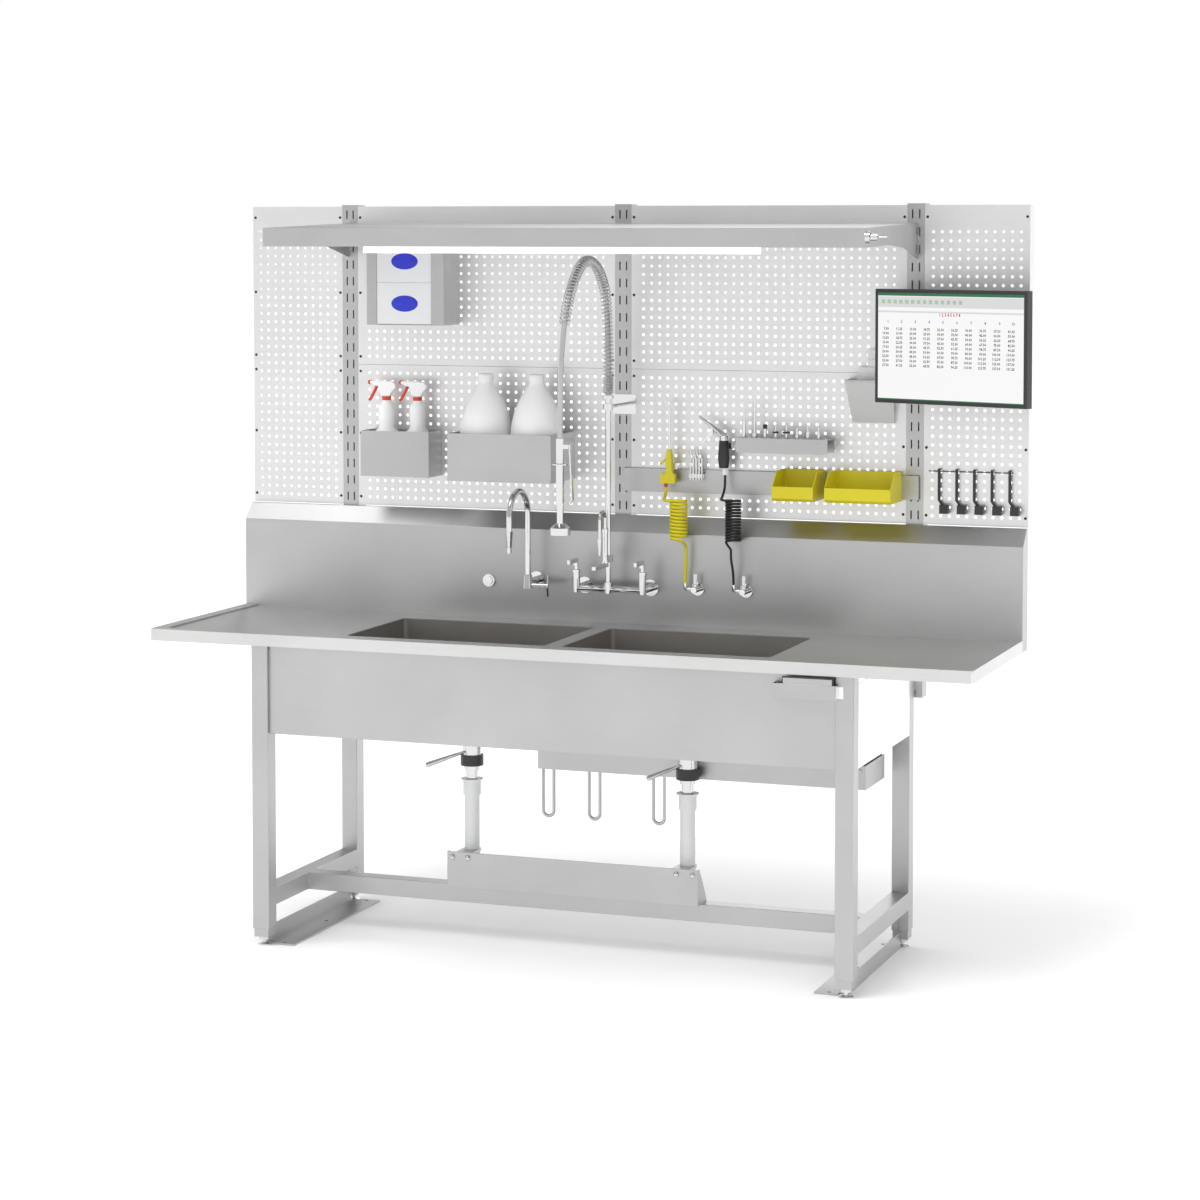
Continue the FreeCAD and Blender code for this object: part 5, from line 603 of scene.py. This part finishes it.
# Bars and marks lie this far in front of the white page; the rest are depths from its top or steps across
page = {"bars": 0.0002, "marks": 0.0003, "titleBar": 0.008, "footBar": 0.003, "ribbon": (0.040, 0.010),
        "ruler": (0.055, 0.050), "icons": 14, "iconFrom": 0.012, "iconTo": 0.024, "iconStep": 0.020,
        "iconDepths": (0.030, 0.019)}
table = {"columns": 10, "rows": 9, "left": -0.205, "step": 0.0465, "top": 0.066, "line": 0.0128,
         "size": 0.0112, "numberShare": 0.9, "headLines": 1.6, "titleRise": 0.020, "titleSize": 0.012,
         "weight": 0.03}
screenPlace = (Matrix.Translation(monitor["centre"]) @ Matrix.Rotation(math.radians(monitor["turn"]), 4, "Z")
               @ Matrix.Translation((0, -monitor["front"] - monitor["lift"], 0)) @ facingFront)


def screenMaterial(name, colour):
    material, shader = newMaterial(name, 0.25, Base_Color=(0.01, 0.01, 0.01, 1),
                                   Emission_Strength=monitor["glow"])
    tree = material.node_tree
    noise = tree.nodes.new("ShaderNodeTexNoise")
    noise.inputs["Scale"].default_value = 900
    tint = tree.nodes.new("ShaderNodeMix")
    tint.data_type = "RGBA"
    tint.inputs["A"].default_value = (*colour, 1)
    tint.inputs["B"].default_value = (*[c * 0.94 for c in colour], 1)
    place = tree.nodes.new("ShaderNodeTexCoord")
    tree.links.new(place.outputs["Object"], noise.inputs["Vector"])
    tree.links.new(noise.outputs["Fac"], tint.inputs["Factor"])
    tree.links.new(tint.outputs["Result"], shader.inputs["Emission Color"])
    return material


def onScreen(name, bm, material):
    # stands flat shapes, drawn in the page's own plane, on the screen
    bmesh.ops.transform(bm, matrix=screenPlace, verts=bm.verts)
    mesh = bpy.data.meshes.new(name)
    bm.to_mesh(mesh)
    bm.free()
    return finished(linked(name, mesh), "monitor", material)


def screenPiece(name, areas, level, material):
    # areas holds (left, right, low, high) for each bar
    bm = bmesh.new()
    for x0, x1, y0, y1 in areas:
        place = Matrix.Translation(((x0 + x1) / 2, (y0 + y1) / 2, level))
        bmesh.ops.create_grid(bm, x_segments=1, y_segments=1, size=0.5,
                              matrix=place @ Matrix.Diagonal((x1 - x0, y1 - y0, 1, 1)))
    return onScreen(name, bm, material)


def screenText(name, columns, size, material, align="RIGHT"):
    # columns holds (x, y, lines) for each block of numbers
    bm = bmesh.new()
    for x, y, lines in columns:
        words = bpy.data.curves.new(name, "FONT")
        words.body = lines
        words.size = size
        words.align_x = align
        words.offset = size * table["weight"]
        words.space_line = table["line"] / size
        words.resolution_u = 1
        holder = linked(name, words)
        bpy.context.view_layer.update()
        mesh = bpy.data.meshes.new_from_object(holder)
        mesh.transform(Matrix.Translation((x, y, page["marks"])))
        bm.from_mesh(mesh)
        bpy.data.objects.remove(holder)
        bpy.data.meshes.remove(mesh)
    return onScreen(name, bm, material)


halfWide = monitor["width"] / 2 - monitor["bezel"]
halfTall = monitor["height"] / 2 - monitor["bezel"]


def barFromTop(depths):
    return (-halfWide, halfWide, halfTall - depths[0], halfTall - depths[1])


def iconAt(number):
    left = -halfWide + page["iconStep"] * number
    return (left + page["iconFrom"], left + page["iconTo"], halfTall - page["iconDepths"][0],
            halfTall - page["iconDepths"][1])


columnPlaces = [table["left"] + table["step"] * n for n in range(table["columns"])]
firstLine = table["top"] - table["headLines"] * table["line"]
header = [(x, table["top"], str(n + 1)) for n, x in enumerate(columnPlaces)]
numbers = [(x, firstLine, "\n".join(f"{(n + 2) * (row + 3) * 1.25:.2f}" for row in range(table["rows"])))
           for n, x in enumerate(columnPlaces)]
screenPiece("screen_page", [(-halfWide, halfWide, -halfTall, halfTall)], 0,
            screenMaterial("screenWhite", (0.97, 0.97, 0.97)))
screenPiece("screen_title_bar", [barFromTop((page["titleBar"], 0)),
                                 (-halfWide, halfWide, -halfTall, -halfTall + page["footBar"])],
            page["bars"], screenMaterial("screenGreen", (0.01, 0.16, 0.05)))
screenPiece("screen_ribbon", [barFromTop(page["ribbon"]), barFromTop(page["ruler"])], page["bars"],
            screenMaterial("screenGrey", (0.72, 0.73, 0.73)))
screenPiece("screen_icons", [iconAt(n) for n in range(page["icons"])], page["marks"],
            screenMaterial("screenIcon", (0.45, 0.55, 0.42)))
screenText("screen_headings", header, table["size"], screenMaterial("screenBlue", (0.02, 0.22, 0.55)))
screenText("screen_numbers", numbers, table["size"] * table["numberShare"],
           screenMaterial("screenInk", (0.03, 0.03, 0.03)))
screenText("screen_total", [(0, table["top"] + table["titleRise"], "1 2 3 4 5 6 7 8")], table["titleSize"],
           screenMaterial("screenRed", (0.55, 0.02, 0.02)), "CENTER")
print("screen made")


# Papers standing in the document pocket: each sheet's left, right, top and front
papers = {"sheets": ((0.7505, 0.7885, 1.719, 0.334), (0.7560, 0.8100, 1.690, 0.330),
                     (0.7230, 0.7760, 1.668, 0.326)),
          "bottom": 1.545, "thick": 0.0012, "edge": 0.0003}
bm = bmesh.new()
for x0, x1, top, y in papers["sheets"]:
    addBlock(bm, (x0, y, papers["bottom"]), (x1, y + papers["thick"], top))
sheets = bevelled(pieceFrom("pocket_papers", bm), papers["edge"], 1)
finished(sheets, "lift", paper)
print("papers made")


# Screws: dark heads along the wall panels' edges and bright ones on the drain support
screws = {"radius": 0.0042, "rise": 0.0022, "fromEdge": 0.008, "sunk": 0.0001,
          "heights": (1.245, 1.44, 1.63, 1.675, 1.87, 2.10)}
bolts = {"radius": 0.0085, "rise": 0.006, "places": (-0.366, -0.318, 0.318, 0.366), "height": 0.250}
domed = ((0.0, 1.0), (0.45, 0.95), (0.8, 0.72), (1.0, 0.30), (1.0, 0.0), (0.0, 0.0))


def addScrew(bm, place, sizes, steps):
    side = [(sizes["radius"] * wide, sizes["rise"] * tall) for wide, tall in domed]
    addLathe(bm, side, Matrix.Translation(place) @ facingFront, steps)


bm = bmesh.new()
for sign in (-1, 1):
    for edge, inward in ((wingNear, 1), (bayNear, 1), (bayFar, -1), (wingFar, -1)):
        x = (edge + inward * screws["fromEdge"]) * sign
        for z in screws["heights"]:
            addScrew(bm, (x, wallFace - screws["sunk"], z), screws, 12)
finished(pieceFrom("wall_panel_screws", bm, smooth=50), "lift", blackPlastic)

bm = bmesh.new()
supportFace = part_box("drain_support")[0].y
for x in bolts["places"]:
    addScrew(bm, (x, supportFace, bolts["height"]), bolts, 20)
finished(pieceFrom("support_bolts", bm, smooth=50), "lift", chrome)
print("screws made")


# CAD shapes shaded round, their sheet edges eased by the width given
rightEnd = 0.84
dressedCopy("worktop", deckSteel, bevel=0.0012)
# painted light: faces right of rightEnd, the right end panel, take the lighter steel as its lit side
zoned(dressedCopy("body_panels", steel, bevel=0.0008), endSteelPaintedLight, lambda spot: spot.x > rightEnd)
sheetEdges = {"backsplash": 0.001, "canopy": 0.0008, "leg_frame": 0.0015, "glove_holder": 0.0006,
              "wall_trays": 0.0006, "bin_rail": 0.0006, "document_pocket": 0.0006, "floor_base": 0.0008,
              "equipment_tray": None, "drain_support": 0.0008}
for node, width in sheetEdges.items():
    dressedCopy(node, steel, bevel=width)
for node in ("left_bowl", "right_bowl"):
    dressedCopy(node, bowlSteel)
for node in ("small_bin", "large_bin"):
    dressedCopy(node, yellowPlastic, bevel=0.0012)
for node in ("left_drain_handle", "right_drain_handle", "gooseneck_spout", "gooseneck_handle", "mixer_body",
             "hot_handle", "cold_handle", "addon_spout", "addon_handle", "spray_lever", "light_switch",
             "spray_valve", "splash_fittings"):
    dressedCopy(node, chrome, smooth=turned)
for node in ("lift_handset", "tool_hooks", "monitor_arm", "monitor_knuckle", "monitor"):
    dressedCopy(node, blackPlastic, bevel=0.0008)
dressedCopy("levelling_feet", pipeSteel, smooth=turned)
dressedCopy("black_trigger", chrome, bevel=0.0006)
dressedCopy("yellow_trigger", yellowPlastic, bevel=0.001)
for node in ("yellow_valve_lever", "black_valve_lever"):
    dressedCopy(node, whitePlastic, bevel=0.0012)

handsetFace = {"rim": 0.0035, "proud": 0.0006, "sunk": 0.001}
low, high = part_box("lift_handset")
bm = bmesh.new()
addBlock(bm, (low.x + handsetFace["rim"], low.y - handsetFace["proud"], low.z),
         (high.x - handsetFace["rim"], low.y + handsetFace["sunk"], high.z - handsetFace["rim"]))
finished(pieceFrom("handset_face", bm), bodyOf["lift_handset"], steel)
print("fittings dressed")


# Fittings of more than one material, told apart by height and place
zones = {"wasteNut": (0.5095, 0.5415), "wasteTubeTop": 0.4715, "yellowTip": 1.4185, "yellowFoot": 1.3178,
         "blackTip": 1.4485, "blackFoot": 1.3678, "capAcross": (0.447, 0.463), "capLow": 1.4855,
         "ringAcross": (0.475, 0.532), "ring": (1.4735, 1.4805), "shelfFrom": 0.37, "shelfTop": 1.4602}


def inside(value, ends):
    return ends[0] < value < ends[1]


wastes = dressedCopy("drains", chrome, smooth=turned)
zoned(wastes, blackPlastic, lambda spot: inside(spot.z, zones["wasteNut"]))
zoned(wastes, clearTube, lambda spot: spot.z < zones["wasteTubeTop"])
yellowGun = dressedCopy("yellow_gun", yellowPlastic, bevel=0.001)
zoned(yellowGun, whitePlastic, lambda spot: spot.z > zones["yellowTip"])
zoned(yellowGun, redPlastic, lambda spot: spot.z < zones["yellowFoot"])
blackGun = dressedCopy("black_gun", blackPlastic, smooth=turned)
zoned(blackGun, chrome, lambda spot: spot.z > zones["blackTip"])
zoned(blackGun, whitePlastic, lambda spot: spot.z < zones["blackFoot"])
racks = dressedCopy("tool_racks", pipeSteel, smooth=turned)
zoned(racks, blackPlastic, lambda spot: inside(spot.x, zones["capAcross"]) and spot.z > zones["capLow"])
zoned(racks, blackPlastic, lambda spot: inside(spot.x, zones["ringAcross"]) and inside(spot.z, zones["ring"]))
zoned(racks, steel, lambda spot: spot.x > zones["shelfFrom"] and spot.z < zones["shelfTop"])
print("zones coloured")


# Floor and light
stage = {"floor": 80.0, "floorColour": 0.96, "world": 1.04, "sun": 1.1, "sunAngle": 32.0,
         "sunWay": (0.42, 0.62, -1.25)}
# How bright mirrors see the studio: a share at each end of a stretch of the direction's Y or Z
mirrored = {"depth": (-0.5, 0.9), "depthShares": (0.86, 1.6), "rise": (0.45, 0.85), "riseShares": (1.0, 0.5),
            "bandScale": 0.85, "bandBend": 0.4, "bandStart": 1.2, "bandMarks": ((0.12, 0.16), (0.46, 1.0))}
bm = bmesh.new()
bmesh.ops.create_grid(bm, x_segments=1, y_segments=1, size=stage["floor"])
floor = pieceFrom("floor", bm)
floorMaterial, _ = newMaterial("floorPaint", 0.9, Base_Color=(*[stage["floorColour"]] * 3, 1),
                               Specular_IOR_Level=0.0)
floor.data.materials.append(floorMaterial)

world = bpy.data.worlds.new("studio")
bpy.context.scene.world = world
world.use_nodes = True
worldTree = world.node_tree
worldTree.nodes.clear()
output = worldTree.nodes.new("ShaderNodeOutputWorld")
rays = worldTree.nodes.new("ShaderNodeLightPath")


def background(colour, strength):
    item = worldTree.nodes.new("ShaderNodeBackground")
    item.inputs["Color"].default_value = (*colour, 1)
    item.inputs["Strength"].default_value = strength
    return item


def mixedBy(share, first, second):
    item = worldTree.nodes.new("ShaderNodeMixShader")
    worldTree.links.new(share, item.inputs["Fac"])
    worldTree.links.new(first.outputs[0], item.inputs[1])
    worldTree.links.new(second.outputs[0], item.inputs[2])
    return item


# Mirrors see a studio of light and dark strips; the camera sees plain white
direction = worldTree.nodes.new("ShaderNodeTexCoord")
bands = worldTree.nodes.new("ShaderNodeTexWave")
bands.wave_type = "BANDS"
bands.bands_direction = "X"
bands.inputs["Scale"].default_value = mirrored["bandScale"]
bands.inputs["Distortion"].default_value = mirrored["bandBend"]
bands.inputs["Phase Offset"].default_value = mirrored["bandStart"]
worldTree.links.new(direction.outputs["Generated"], bands.inputs["Vector"])
strips = worldTree.nodes.new("ShaderNodeValToRGB")
for mark, (position, brightness) in zip(strips.color_ramp.elements, mirrored["bandMarks"]):
    mark.position = position
    mark.color = (brightness, brightness, brightness, 1)
worldTree.links.new(bands.outputs["Fac"], strips.inputs["Fac"])
studio = background((1, 1, 1), 1.0)
worldTree.links.new(strips.outputs["Color"], studio.inputs["Color"])
way = worldTree.nodes.new("ShaderNodeSeparateXYZ")
worldTree.links.new(direction.outputs["Generated"], way.inputs[0])


def shareAlong(axis, ends, shares):
    item = worldTree.nodes.new("ShaderNodeMapRange")
    item.inputs["From Min"].default_value, item.inputs["From Max"].default_value = ends
    item.inputs["To Min"].default_value, item.inputs["To Max"].default_value = shares
    worldTree.links.new(way.outputs[axis], item.inputs["Value"])
    return item.outputs["Result"]


dimmed = worldTree.nodes.new("ShaderNodeMath")
dimmed.operation = "MULTIPLY"
worldTree.links.new(shareAlong("Y", mirrored["depth"], mirrored["depthShares"]), dimmed.inputs[0])
worldTree.links.new(shareAlong("Z", mirrored["rise"], mirrored["riseShares"]), dimmed.inputs[1])
worldTree.links.new(dimmed.outputs[0], studio.inputs["Strength"])
received = mixedBy(rays.outputs["Is Glossy Ray"], background((1, 1, 1), stage["world"]), studio)
through = worldTree.nodes.new("ShaderNodeMath")
through.operation = "MAXIMUM"
worldTree.links.new(rays.outputs["Is Camera Ray"], through.inputs[0])
worldTree.links.new(rays.outputs["Is Transmission Ray"], through.inputs[1])
whole = mixedBy(through.outputs[0], received, background((1, 1, 1), 1.0))
worldTree.links.new(whole.outputs[0], output.inputs["Surface"])

sunData = bpy.data.lights.new("sun", "SUN")
sunData.energy = stage["sun"]
sunData.angle = math.radians(stage["sunAngle"])
sun = linked("sun", sunData)
sun.rotation_euler = Vector(stage["sunWay"]).to_track_quat("-Z", "Y").to_euler()
print("light set")
